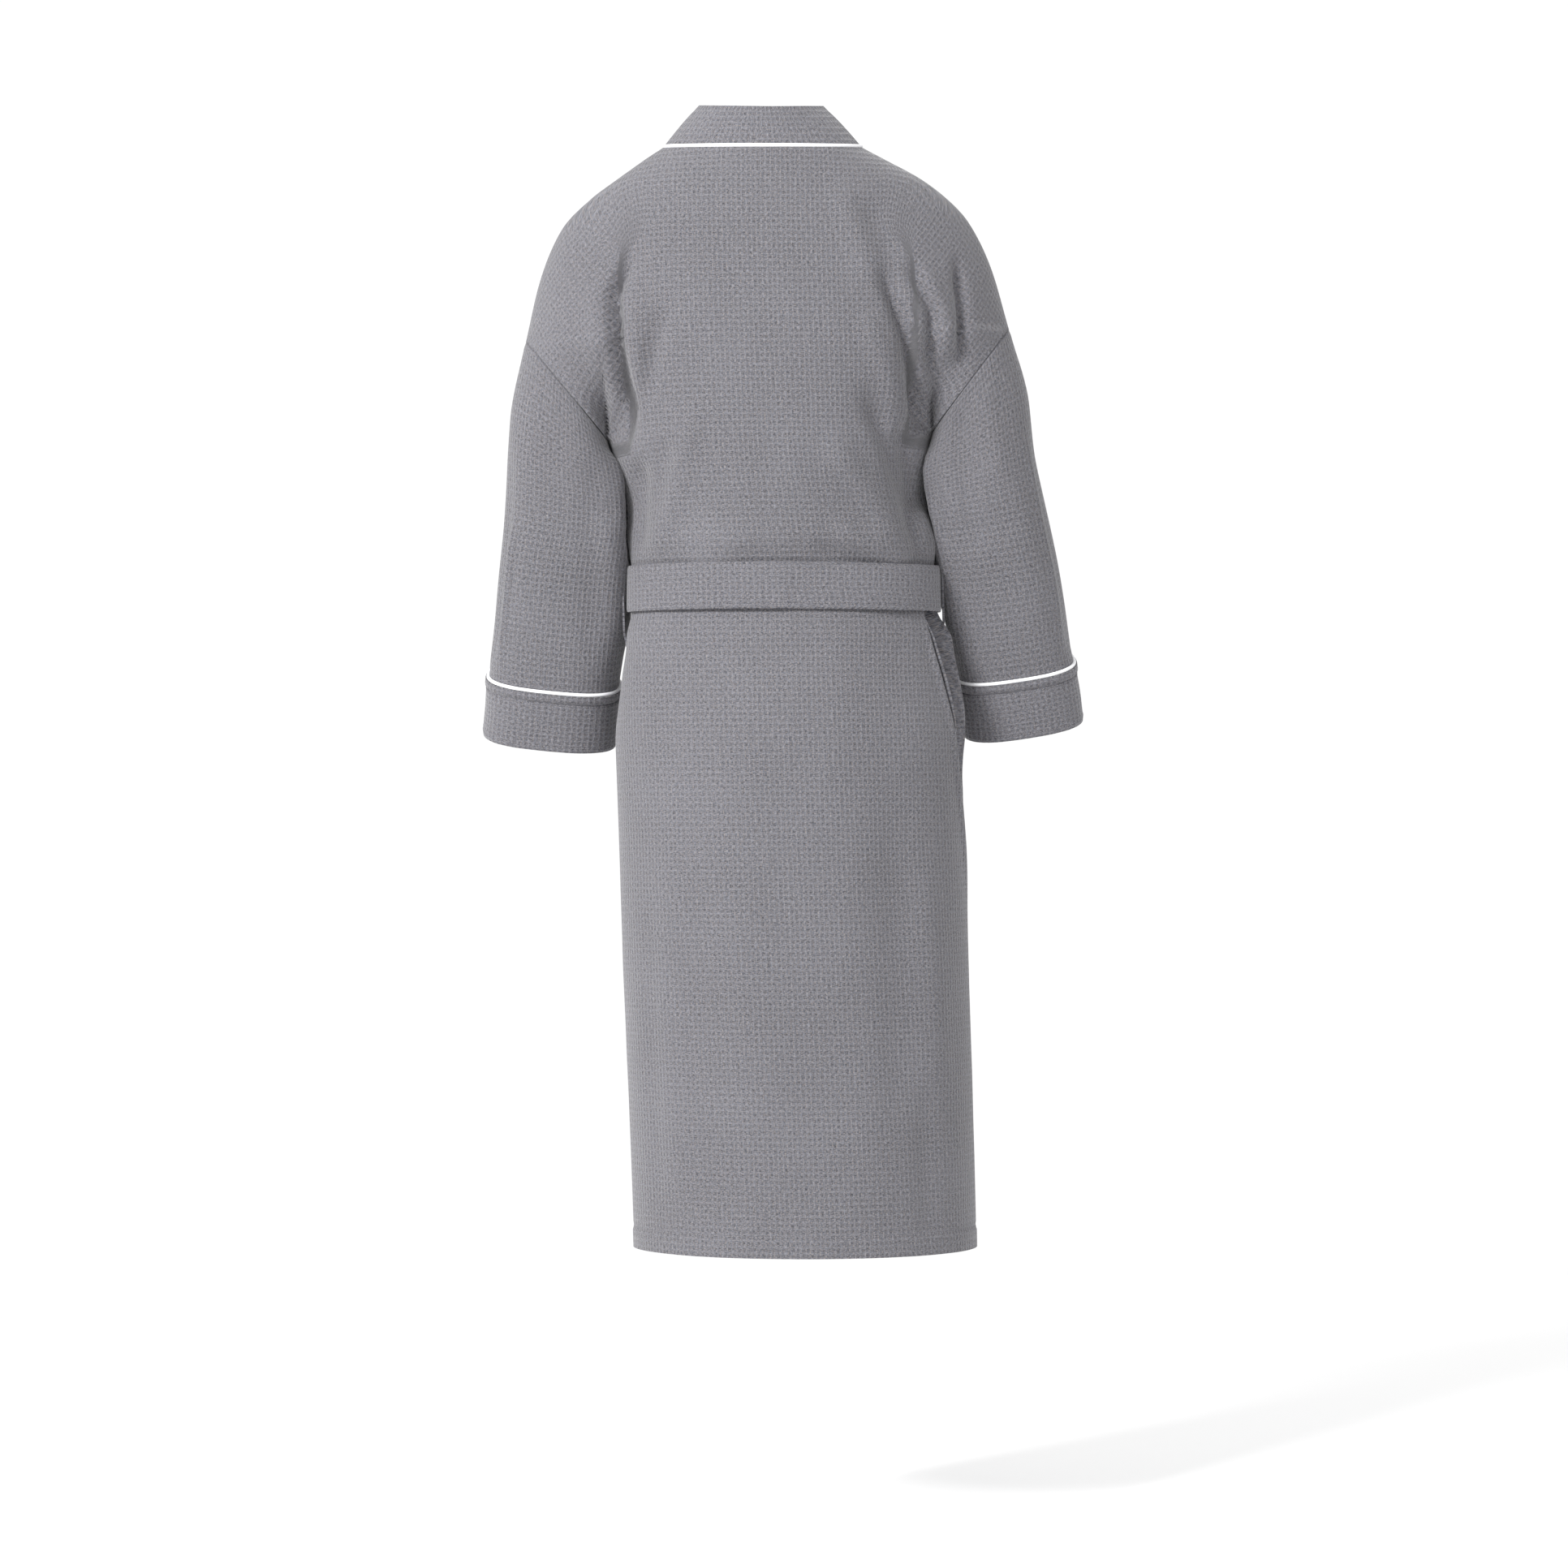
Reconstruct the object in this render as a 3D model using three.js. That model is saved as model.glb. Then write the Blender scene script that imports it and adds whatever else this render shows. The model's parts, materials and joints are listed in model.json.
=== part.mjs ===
// A hotel bathrobe in waffle cloth, tied at the waist and standing as it hangs on its wearer.
// Millimetres, +Z up, front towards -Y, the wearer's left towards +X.
// The origin is the middle of the line between the two neck points of the shoulders, so every
// height is given as a drop below that line.
import * as THREE from 'three';

// ---------- driving dimensions ----------
const BACK_LENGTH = 1245;       // neck seam to hem
const NECK_HALF = 110;          // half the width of the neck seam
const NECK_DIP = 9;             // the neck seam is this much lower at the centre of the back
const SHOULDER_HALF = 274;      // half width over the arms where the dropped armhole starts
const ARMHOLE_TOP = 214;        // drop of the armhole's outer point
const ARMHOLE_BOTTOM = 330;     // drop of the armpit
const ARMPIT_HALF = 182;
const CHEST_HALF = 163;
const WAIST_HALF = 172;
const HIP_HALF = 196;
const HIP_DROP = 680;
const HEM_HALF = 194;
const WAIST_SWAY = 11;          // the hips stand this much to the wearer's right of the shoulders

const NECK_BACK = 74;           // depths from the side seams to the back and to the front
const SHOULDER_BLADES = 125;
const WAIST_BACK = 98;
const SEAT = 132;
const HEM_BACK = 145;
const NECK_FRONT = 70;
const CHEST_FRONT = 131;
const WAIST_FRONT = 113;
const HEM_FRONT = 160;

const SLEEVE_LENGTH = 340;      // middle of the armhole to the cuff seam, along the sleeve
const SLEEVE_HALF = 70;         // half the sleeve's width and depth at the cuff seam
const SLEEVE_DEPTH = 58;
const ARM_DEPTH = 62;           // half the depth of the armhole
const CUFF_HEIGHT = 69;
const CUFF_PROUD = 2.5;         // the cuff is this much wider than the sleeve

const BAND_WIDTH = 46;          // collar and front band
const FRONT_OVERLAP = 110;      // the free front edge passes the centre by this much at the belt
const BELT_WIDTH = 52;
const BELT_DROP = 501;          // middle of the belt
const TAIL_LENGTH = 330;
const TAIL_GAP = 6;             // between the two hanging tails
const TAIL_LEAN = 1;            // the pair's middle stands this much to the left of the knot's
const LOOP_ABOVE = 11;          // how far a belt loop runs on past the belt's two edges
const LOOP_BELOW = 35;
const LOOP_WIDTH = 10;
const POCKET_TOP = 690;         // drop of the pocket mouth
const POCKET_HEIGHT = 180;
const POCKET_BULGE = 9;
const POCKET_FROM = 37;         // degrees round the front from its middle
const POCKET_TO = 84;
const FOLD_HEM_X = 50;          // where the front corner's fold line meets the hem

const CLOTH = 2;                // one layer of waffle cloth
const DOUBLE = 3.6;             // two layers: band, belt and cuffs
const PIPING_RADIUS = 2.1;
const GAP = 0.9;                // clearance where two pieces are sewn edge to edge
const LAYER = 7;                // how far the over-lapping front stands off the under one
const BELT_EASE = 1.6;          // belt to cloth
const LOOP_EASE = 1.4;          // belt loop to belt
const LOOP_CLOTH = 2.4;
const SLEEVE_CLEAR = 1.4;       // a sleeve clears the belt loop beside it by at least this
const HANGER = { width: 64, height: 50, strip: 8, thick: 2 };

// ---------- finishes ----------
const finish = (color, roughness) => new THREE.MeshStandardMaterial({ color, roughness, metalness: 0 });
const waffle = finish(0x8b898e, 0.95);
const piping = finish(0xf2f1f4, 0.8);
const label = finish(0xe6e3dc, 0.85);

// ---------- small helpers ----------
const mix = (a, b, t) => a + (b - a) * t;
const clamp01 = (t) => Math.min(1, Math.max(0, t));
const ease = (a, b, t) => {
  const s = clamp01((t - a) / (b - a));
  return s * s * (3 - 2 * s);
};
const bow = (t) => Math.sqrt(Math.max(0, 1 - t * t));
const steps = (a, b, count) => Array.from({ length: count + 1 }, (_, i) => mix(a, b, i / count));

// A smooth curve through [position, value] knots that never overshoots them.
function curve(knots) {
  const slope = knots.slice(1).map(([x, y], i) => (y - knots[i][1]) / (x - knots[i][0]));
  const tangent = knots.map((_, i) => {
    const before = slope[i - 1] ?? slope[0];
    const after = slope[i] ?? slope[slope.length - 1];
    return before * after <= 0 ? 0 : (2 * before * after) / (before + after);
  });
  return (x) => {
    let i = 0;
    while (i < knots.length - 2 && x > knots[i + 1][0]) i += 1;
    const [x0, y0] = knots[i];
    const [x1, y1] = knots[i + 1];
    const h = x1 - x0;
    const t = clamp01((x - x0) / h);
    const a = t * t * (3 - 2 * t);
    const b = t * (1 - t);
    return mix(y0, y1, a) + h * b * ((1 - t) * tangent[i] - t * tangent[i + 1]);
  };
}

// A closed cloth solid: surface(u, v) is its outer face, and its thickness goes inwards.
// Columns us and rows vs say where it is sampled; a closed one joins its last column to its first.
function sheet(surface, us, vs, thickness, { outset = 0, closed = false, flip = false } = {}) {
  const grid = vs.map((v) => us.map((u) => surface(u, v)));
  const outer = [];
  const inner = [];
  grid.forEach((row, r) => {
    row.forEach((point, c) => {
      const before = closed ? (c + us.length - 1) % us.length : Math.max(0, c - 1);
      const after = closed ? (c + 1) % us.length : Math.min(us.length - 1, c + 1);
      const alongU = row[after].clone().sub(row[before]);
      const alongV = grid[Math.min(vs.length - 1, r + 1)][c].clone().sub(grid[Math.max(0, r - 1)][c]);
      const normal = alongU.cross(alongV).normalize().multiplyScalar(flip ? -1 : 1);
      outer.push(point.clone().addScaledVector(normal, outset));
      inner.push(point.clone().addScaledVector(normal, outset - thickness));
    });
  });
  const columns = us.length;
  const rows = vs.length;
  const points = [...outer, ...inner];
  const shift = outer.length;
  const faces = [];
  const quad = (a, b, c, d) => faces.push(a, b, c, a, c, d);
  const index = (row, column) => row * columns + (column % columns);
  const lastColumn = closed ? columns : columns - 1;
  for (let r = 0; r < rows - 1; r += 1) {
    for (let c = 0; c < lastColumn; c += 1) {
      const [p, q, s, t] = [index(r, c), index(r, c + 1), index(r + 1, c + 1), index(r + 1, c)];
      quad(p, q, s, t);
      quad(p + shift, t + shift, s + shift, q + shift);
    }
  }
  for (let c = 0; c < lastColumn; c += 1) {
    const [p, q] = [index(0, c), index(0, c + 1)];
    const [s, t] = [index(rows - 1, c + 1), index(rows - 1, c)];
    quad(p, p + shift, q + shift, q);
    quad(t, s, s + shift, t + shift);
  }
  if (!closed) {
    for (let r = 0; r < rows - 1; r += 1) {
      const [p, t] = [index(r, 0), index(r + 1, 0)];
      const [q, s] = [index(r, columns - 1), index(r + 1, columns - 1)];
      quad(p, t, t + shift, p + shift);
      quad(q, q + shift, s + shift, s);
    }
  }
  if (flip) {
    for (let i = 0; i < faces.length; i += 3) {
      [faces[i + 1], faces[i + 2]] = [faces[i + 2], faces[i + 1]];
    }
  }
  const geometry = new THREE.BufferGeometry().setFromPoints(points);
  geometry.setIndex(faces);
  geometry.computeVertexNormals();
  return geometry;
}

const robe = new THREE.Group();
function add(name, geometry, material) {
  const mesh = new THREE.Mesh(geometry, material);
  mesh.name = name;
  robe.add(mesh);
  return mesh;
}

// ---------- the body's shape ----------
const BELT_TOP = BELT_DROP - BELT_WIDTH / 2;
const BELT_BOTTOM = BELT_DROP + BELT_WIDTH / 2;
const SHOULDER_MIDDLE = 0.56 * ARMHOLE_TOP;
const LOOP_STAND = BELT_EASE + DOUBLE + LOOP_EASE + LOOP_CLOTH;
const loopTop = BELT_TOP - LOOP_ABOVE;
const loopBottom = BELT_BOTTOM + LOOP_BELOW;
const ARMHOLE_SLOPE = (SHOULDER_HALF - ARMPIT_HALF) / (ARMHOLE_BOTTOM - ARMHOLE_TOP);

// Half width of the shoulder line, as shares of the way from the neck to the armhole.
const ridge = curve([[0, 0], [0.08, 0.177], [0.25, 0.518], [0.425, 0.738], [0.68, 0.89], [1, 1]]);
const overArms = (drop) =>
  drop < ARMHOLE_TOP
    ? mix(NECK_HALF, SHOULDER_HALF, ridge(drop / ARMHOLE_TOP))
    : SHOULDER_HALF + 0.15 * (drop - ARMHOLE_TOP);
const torsoHalf = curve([
  [ARMHOLE_BOTTOM, ARMPIT_HALF],
  [ARMHOLE_BOTTOM + 25, mix(ARMPIT_HALF, CHEST_HALF, 0.6)],
  [ARMHOLE_BOTTOM + 70, CHEST_HALF],
  [BELT_TOP, WAIST_HALF],
  [BELT_BOTTOM, WAIST_HALF + 1],
  [mix(BELT_BOTTOM, HIP_DROP, 0.5), mix(WAIST_HALF, HIP_HALF, 0.58)],
  [HIP_DROP, HIP_HALF],
  [BACK_LENGTH, HEM_HALF],
]);
const backDepth = curve([
  [0, NECK_BACK],
  [0.25 * ARMHOLE_TOP, mix(NECK_BACK, SHOULDER_BLADES, 0.45)],
  [SHOULDER_MIDDLE, mix(NECK_BACK, SHOULDER_BLADES, 0.8)],
  [0.935 * ARMHOLE_TOP, SHOULDER_BLADES],
  [ARMHOLE_BOTTOM, SHOULDER_BLADES - 3],
  [mix(ARMHOLE_BOTTOM, BELT_TOP, 0.7), mix(SHOULDER_BLADES, WAIST_BACK, 0.6)],
  [BELT_TOP, WAIST_BACK],
  [BELT_BOTTOM, WAIST_BACK + 1],
  [HIP_DROP, SEAT],
  [BACK_LENGTH, HEM_BACK],
]);
const frontAboveBelt = curve([
  [0, NECK_FRONT],
  [0.25 * ARMHOLE_TOP, mix(NECK_FRONT, CHEST_FRONT, 0.25)],
  [SHOULDER_MIDDLE, mix(NECK_FRONT, CHEST_FRONT, 0.56)],
  [0.935 * ARMHOLE_TOP, mix(NECK_FRONT, CHEST_FRONT, 0.84)],
  [ARMHOLE_BOTTOM, CHEST_FRONT],
  [mix(ARMHOLE_BOTTOM, BELT_DROP, 0.6), mix(CHEST_FRONT, WAIST_FRONT, 0.5)],
  [BELT_DROP, WAIST_FRONT],
]);
const frontDepth = (drop) =>
  drop < BELT_DROP
    ? frontAboveBelt(drop)
    : mix(WAIST_FRONT, HEM_FRONT, (drop - BELT_DROP) / (BACK_LENGTH - BELT_DROP));
const sway = (drop) => -WAIST_SWAY * ease(ARMHOLE_BOTTOM, BELT_DROP, drop);

// Half width of a body panel at a drop: the shoulder line, then the slanting armhole, then the side seam.
function panelHalf(drop) {
  if (drop <= ARMHOLE_TOP) return overArms(drop);
  if (drop < ARMHOLE_BOTTOM) return SHOULDER_HALF - ARMHOLE_SLOPE * (drop - ARMHOLE_TOP);
  return torsoHalf(drop);
}
const armholeDepth = (x) => {
  const middle = (SHOULDER_HALF + ARMPIT_HALF) / 2;
  return ARM_DEPTH * bow((x - middle) / (SHOULDER_HALF - middle));
};

// How far the cloth stands from the side seams' plane, at a distance x from the middle. Beside an
// armhole it is pulled out to the armhole's edge, starting at this share of the armpit's half width.
const PULL_START = 0.6;
function depthAt(x, drop, depth) {
  const half = panelHalf(drop);
  if (drop <= ARMHOLE_TOP || drop >= ARMHOLE_BOTTOM) return depth * bow(Math.min(1, x / half));
  const share = ease(ARMHOLE_TOP, ARMHOLE_BOTTOM, drop);
  const upper = (s) => depth * bow(Math.min(1, s / overArms(drop)));
  const lower = (s) => depth * bow(Math.min(1, s / ARMPIT_HALF));
  const plain = (s) => mix(upper(s), lower(s), share);
  const pull = armholeDepth(half) - plain(half);
  return plain(x) + pull * ease(PULL_START * ARMPIT_HALF, half, x);
}
const backPoint = (x, drop, off = 0) =>
  new THREE.Vector3(x + sway(drop), GAP / 2 + depthAt(Math.abs(x), drop, backDepth(drop)) + off, -drop);
const lapLift = (x, drop) => 1 - ease(0.62, 0.97, Math.abs(x) / panelHalf(drop));
const frontPoint = (x, drop, lift = 0) =>
  new THREE.Vector3(
    x + sway(drop),
    -GAP / 2 - depthAt(Math.abs(x), drop, frontDepth(drop)) - lift * lapLift(x, drop),
    -drop,
  );

// ---------- the seam that the collar and front band are sewn to ----------
const SEAM_X = BAND_WIDTH - FRONT_OVERLAP;
const frontSeam = curve([
  [0, NECK_HALF - 1],
  [0.06 * BELT_DROP, NECK_HALF - 4],
  [0.19 * BELT_DROP, NECK_HALF - 18],
  [0.44 * BELT_DROP, NECK_HALF / 2],
  [0.70 * BELT_DROP, 5],
  [BELT_TOP, SEAM_X + 10],
  [BELT_BOTTOM, SEAM_X],
  [BACK_LENGTH, SEAM_X],
]);
const SEAM_ROOM = PIPING_RADIUS + 1.7;
const neckDrop = (angle) => NECK_DIP * Math.cos(angle);
const neckSeam = (angle) => {
  const drop = neckDrop(angle);
  return backPoint(overArms(drop) * Math.sin(angle), drop);
};

// ---------- body panels ----------
const shoulderRows = [0.065, 0.12, 0.2, 0.29, 0.41, 0.56, 0.73, 0.88, 1].map((t) => t * ARMHOLE_TOP);
const armholeRows = steps(ARMHOLE_TOP, ARMHOLE_BOTTOM, 6).slice(1);
const lowerRows = [
  ...steps(ARMHOLE_BOTTOM, BELT_TOP, 4).slice(1),
  ...steps(BELT_TOP, BELT_BOTTOM, 2).slice(1),
  ...steps(BELT_BOTTOM, HIP_DROP, 4).slice(1),
  ...steps(HIP_DROP, BACK_LENGTH, 4).slice(1),
];

// The first rows bend from the level rows to the line just under the neck seam.
function backPanel(u, drop) {
  const angle = (u * Math.PI) / 2;
  const fade = 1 - ease(0, 60, drop);
  const bent = drop + fade * (neckDrop(angle) - NECK_DIP * 0.75);
  return backPoint(panelHalf(bent) * Math.sin(angle), bent);
}
const backRows = [NECK_DIP * 0.75 + SEAM_ROOM, ...shoulderRows, ...armholeRows, ...lowerRows];
add('back_panel', sheet(backPanel, steps(-1, 1, 20), backRows, CLOTH), waffle);

// The line that the front's lower corner folds on, from the free edge at the belt to the hem.
const foldLine = (drop) =>
  mix(-FRONT_OVERLAP, FOLD_HEM_X, clamp01((drop - BELT_BOTTOM) / (BACK_LENGTH - BELT_BOTTOM)));
const foldMeets = (x) =>
  mix(BELT_BOTTOM, BACK_LENGTH, (x + FRONT_OVERLAP) / (FOLD_HEM_X + FRONT_OVERLAP));

function frontStrip(side, lift, outerX, innerX) {
  return (u, drop) => {
    const half = panelHalf(drop);
    const from = Math.asin(Math.min(1, outerX(drop) / half));
    const to = Math.asin(innerX(drop) / half);
    const x = half * Math.sin(mix(from, to, u));
    const point = frontPoint(x, drop, lift);
    if (side < 0) point.x = -x + sway(drop);
    return point;
  };
}
const seamEdge = (drop) => frontSeam(drop) + SEAM_ROOM * 1.06;
const bandEdge = (drop) => frontSeam(drop) - SEAM_ROOM * 1.06;
const freeEdge = (drop) => frontSeam(drop) - BAND_WIDTH;
const frontRows = [10, ...shoulderRows, ...armholeRows, ...lowerRows];

add('right_front_panel',
  sheet(frontStrip(-1, 0, panelHalf, seamEdge), steps(0, 1, 12), frontRows, CLOTH, { flip: true }),
  waffle);
const keptEdge = (drop) => Math.max(seamEdge(drop), foldLine(drop) + GAP);
add('left_front_panel',
  sheet(frontStrip(1, LAYER, panelHalf, keptEdge), steps(0, 1, 12), frontRows, CLOTH),
  waffle);

const cornerEdge = (drop) => foldLine(drop) - GAP;
const CORNER_TOP = foldMeets(SEAM_X + 8);
add('left_front_corner',
  sheet(frontStrip(1, LAYER, cornerEdge, seamEdge), steps(0, 1, 4), steps(CORNER_TOP, BACK_LENGTH, 6), CLOTH),
  waffle);

// ---------- collar and front band ----------
// place runs along the band: 0 at the centre back, 1 at the neck's side, then a tenth for each
// 10 mm of drop down the front; it is negative on the wearer's right.
const NECK_STEP = 100;
const frontPlace = (drop) => 1 + drop / NECK_STEP;

// The seam and the free edge of the band at a place on the wearer's left.
function bandAcross(place, lift, freeLimit) {
  if (place <= 1) {
    const angle = (place * Math.PI) / 2;
    const seam = neckSeam(angle);
    const [s, c] = [Math.sin(angle), Math.cos(angle)];
    const rise = new THREE.Vector3(-41 * s, -(17 * c + 4 * s), 55 * c * c + 40 * s * s);
    return [seam, seam.clone().add(rise)];
  }
  const drop = (place - 1) * NECK_STEP;
  const onFront = (x, d) => frontPoint(x, d, lift);
  const seamX = overArms(0) * (1 - ease(0, 6, drop)) + frontSeam(drop) * ease(0, 6, drop);
  const seam = onFront(Math.min(seamX, panelHalf(drop)), drop);
  const standing = seam.clone().add(new THREE.Vector3(-41, -4, 40));
  const tilt = Math.max(0, drop - 16 * (1 - ease(350, BELT_BOTTOM, drop)));
  const lyingX = Math.max(freeEdge(drop) + 2, freeLimit(drop));
  const lying = onFront(lyingX, mix(drop, tilt, ease(60, 130, drop)));
  return [seam, standing.lerp(lying, ease(15, 110, drop))];
}

function bandSurface(leftLimit) {
  return (u, place) => {
    const left = place >= 0;
    const [seam, free] = bandAcross(Math.abs(place), left ? LAYER : 0, left ? leftLimit : () => -Infinity);
    const width = seam.distanceTo(free);
    const point = seam.lerp(free, mix(SEAM_ROOM / width, 1, u));
    const onChest = frontPoint(point.x - sway(-point.z), Math.max(0, -point.z), left ? LAYER : 0).y;
    point.y = mix(point.y, onChest, ease(45, 120, (Math.abs(place) - 1) * NECK_STEP));
    if (!left) point.x = 2 * sway(-point.z) - point.x;
    return point;
  };
}
const neckPlaces = steps(0, 1, 8);
const leftEnd = foldMeets(SEAM_X - 8);
const aboveBelt = [0.025, 0.055, 0.095, 0.147, 0.21, 0.305, 0.42, 0.515, 0.6, 0.685, 0.77, 0.84, 0.916];
const neckFront = [...aboveBelt.map((t) => t * BELT_TOP), BELT_TOP, BELT_DROP, BELT_BOTTOM];
const leftDrops = [...neckFront, ...steps(BELT_BOTTOM, leftEnd, 4).slice(1)];
const rightDrops = [...neckFront, BELT_BOTTOM + 40, ...steps(BELT_BOTTOM, BACK_LENGTH, 4).slice(1)];
const leftPlaces = leftDrops.map(frontPlace);
const rightPlaces = rightDrops.map(frontPlace);
const bandPlaces = [
  ...rightPlaces.toReversed().map((p) => -p),
  ...neckPlaces.toReversed().slice(0, -1).map((p) => -p),
  ...neckPlaces,
  ...leftPlaces,
];
const collarSurface = bandSurface((drop) => (drop < BELT_BOTTOM ? -Infinity : foldLine(drop) + GAP));
add('collar_band',
  sheet(collarSurface, steps(0, 1, 2), bandPlaces, DOUBLE, { outset: 0.8 }),
  waffle);
add('left_front_band',
  sheet(frontStrip(1, LAYER, (drop) => Math.min(bandEdge(drop), foldLine(drop) - GAP), freeEdge),
    steps(0, 1, 2), [foldMeets(-FRONT_OVERLAP + 6), ...steps(leftEnd, BACK_LENGTH, 5)],
    DOUBLE, { outset: 0.8 }),
  waffle);

// ---------- piping ----------
const circle = (radius, sides) =>
  new THREE.Shape(steps(0, 1, sides).slice(1).map((t) =>
    new THREE.Vector2(radius * Math.cos(2 * Math.PI * t), radius * Math.sin(2 * Math.PI * t))));
const cord = (points, radius, sides, count) =>
  new THREE.ExtrudeGeometry(circle(radius, sides), {
    steps: count,
    extrudePath: new THREE.CatmullRomCurve3(points),
  });
const onSeam = (place) => {
  const [seam] = bandAcross(Math.abs(place), place > 0 ? LAYER : 0, () => -Infinity);
  if (place < 0) seam.x = 2 * sway(-seam.z) - seam.x;
  return seam;
};
const pipedPlaces = bandPlaces.filter((p) => p < frontPlace(foldMeets(SEAM_X)) - 0.1);
add('collar_piping', cord(pipedPlaces.map(onSeam), PIPING_RADIUS, 6, 100), piping);
add('left_front_piping',
  cord(steps(foldMeets(SEAM_X + 6), BACK_LENGTH, 4).map((d) => onSeam(frontPlace(d))), PIPING_RADIUS, 6, 8),
  piping);

// ---------- sleeves and cuffs ----------
const LEAN_OUT = 0.125;          // slopes of the sleeve below the elbow
const LEAN_FORWARD = 0.29;
const along = new THREE.Vector3(LEAN_OUT, -LEAN_FORWARD, -1).normalize();
const armholeMiddle = new THREE.Vector3(
  (SHOULDER_HALF + ARMPIT_HALF) / 2, 0, -(ARMHOLE_TOP + ARMHOLE_BOTTOM) / 2);
const elbow = new THREE.Vector3(armholeMiddle.x + 9, -10, armholeMiddle.z - 0.36 * SLEEVE_LENGTH);
const cuffSeam = elbow.clone().addScaledVector(along, 0.62 * SLEEVE_LENGTH);
const armholeAcross = new THREE.Vector3(
  (SHOULDER_HALF - ARMPIT_HALF) / 2, 0, (ARMHOLE_BOTTOM - ARMHOLE_TOP) / 2);
const cuffAcross = new THREE.Vector3(1, 0, LEAN_OUT).normalize().multiplyScalar(SLEEVE_HALF);
const cuffDeep = along.clone().cross(new THREE.Vector3(1, 0, LEAN_OUT).normalize()).normalize()
  .multiplyScalar(-SLEEVE_DEPTH);
const acrossAt = (x, z) => new THREE.Vector3(x * SLEEVE_HALF, 0, z * SLEEVE_HALF);
const deepAt = (y, z) => new THREE.Vector3(0, y * ARM_DEPTH, z * ARM_DEPTH);
// The sleeve's centre line, and its half axes across and front to back, by share of its length.
const stations = [
  [0, armholeMiddle, armholeAcross, new THREE.Vector3(0, ARM_DEPTH, 0)],
  [0.18, armholeMiddle.clone().lerp(elbow, 0.5), acrossAt(0.87, 0.49), deepAt(1, -0.05)],
  [0.4, elbow, acrossAt(0.914, 0.2), deepAt(0.985, -0.145)],
  [0.7, elbow.clone().lerp(cuffSeam, 0.5), acrossAt(0.964, 0.114), deepAt(0.95, -0.24)],
  [1, cuffSeam, cuffAcross, cuffDeep],
];
const byAxis = (column) => ['x', 'y', 'z'].map((axis) =>
  curve(stations.map((station) => [station[0], station[column][axis]])));
const [centreLine, acrossLine, deepLine] = [byAxis(1), byAxis(2), byAxis(3)];
const read = (line, t) => new THREE.Vector3(line[0](t), line[1](t), line[2](t));

// Drops between which a sleeve is kept clear of the belt loop beside it.
const besideLoop = [mix(ARMHOLE_BOTTOM, loopTop, 0.6), mix(loopBottom, HIP_DROP, 0.3)];

// A point on the sleeve; past 1 it runs on into the cuff, and off stands it off the cloth.
// Beside the belt it stays outside the belt loop.
function sleevePoint(side, turn, t, off = 0) {
  const angle = turn * 2 * Math.PI;
  const share = Math.min(1, t);
  const centre = read(centreLine, share);
  if (t > 1) centre.addScaledVector(along, (t - 1) * SLEEVE_LENGTH);
  const across = read(acrossLine, share);
  const deep = read(deepLine, share);
  const give = (sway(-centre.z) / 4) * (side > 0 ? 1 : 2.5);
  across.setLength(across.length() + off - side * give * ease(0, 0.4, t));
  deep.setLength(deep.length() + off);
  const point = centre.addScaledVector(across, Math.cos(angle)).addScaledVector(deep, Math.sin(angle));
  point.x = side * point.x + give * ease(0, 0.4, t);
  const drop = -point.z;
  if (drop > besideLoop[0] && drop < besideLoop[1]) {
    const full = WAIST_HALF + LOOP_STAND + SLEEVE_CLEAR + side * sway(BELT_DROP);
    const share = clamp01((drop - besideLoop[0]) / (loopTop - 2 * LOOP_ABOVE - besideLoop[0]));
    const start = CHEST_HALF + side * sway(besideLoop[0]);
    point.x = side * Math.max(mix(start, full, share), side * point.x);
  }
  return point;
}
const turns = steps(0, 1, 20).slice(0, -1);
const armholeShare = 1.36 / SLEEVE_LENGTH;   // clearance between a sleeve and the body panels
const seamShare = SEAM_ROOM / SLEEVE_LENGTH;
const cuffShare = CUFF_HEIGHT / SLEEVE_LENGTH;
const sleeveRows = [armholeShare, 0.09, 0.2, 0.32, 0.42, 0.52, 0.62, 0.8, 1 - seamShare];
for (const [side, name] of [[1, 'left'], [-1, 'right']]) {
  const flip = side > 0;
  add(`${name}_sleeve`,
    sheet((u, t) => sleevePoint(side, u, t), turns, sleeveRows, CLOTH,
      { closed: true, flip }),
    waffle);
  add(`${name}_cuff`,
    sheet((u, t) => sleevePoint(side, u, t, CUFF_PROUD), turns, steps(1 + seamShare, 1 + cuffShare, 2), DOUBLE,
      { closed: true, flip }),
    waffle);
  const ring = new THREE.CatmullRomCurve3(turns.map((u) => sleevePoint(side, u, 1, 0.6)), true);
  add(`${name}_cuff_piping`, new THREE.TubeGeometry(ring, 28, PIPING_RADIUS, 6, true), piping);
}

// ---------- belt ----------
const BELT_FRONT = LAYER + 6.5;   // the belt clears the lapped front and its band
function beltPoint(turn, drop, off) {
  const angle = turn * 2 * Math.PI;
  const [s, c] = [Math.sin(angle), Math.cos(angle)];
  const half = torsoHalf(drop) + off;
  const depth = c > 0 ? backDepth(drop) + off : frontDepth(drop) + BELT_FRONT + off - BELT_EASE;
  return new THREE.Vector3(half * s + sway(BELT_DROP), depth * c, -drop);
}
add('belt_wrap',
  sheet((u, drop) => beltPoint(u, drop, BELT_EASE + DOUBLE), steps(0, 1, 40).slice(0, -1),
    steps(BELT_TOP, BELT_BOTTOM, 2), DOUBLE, { closed: true }),
  waffle);

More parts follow.
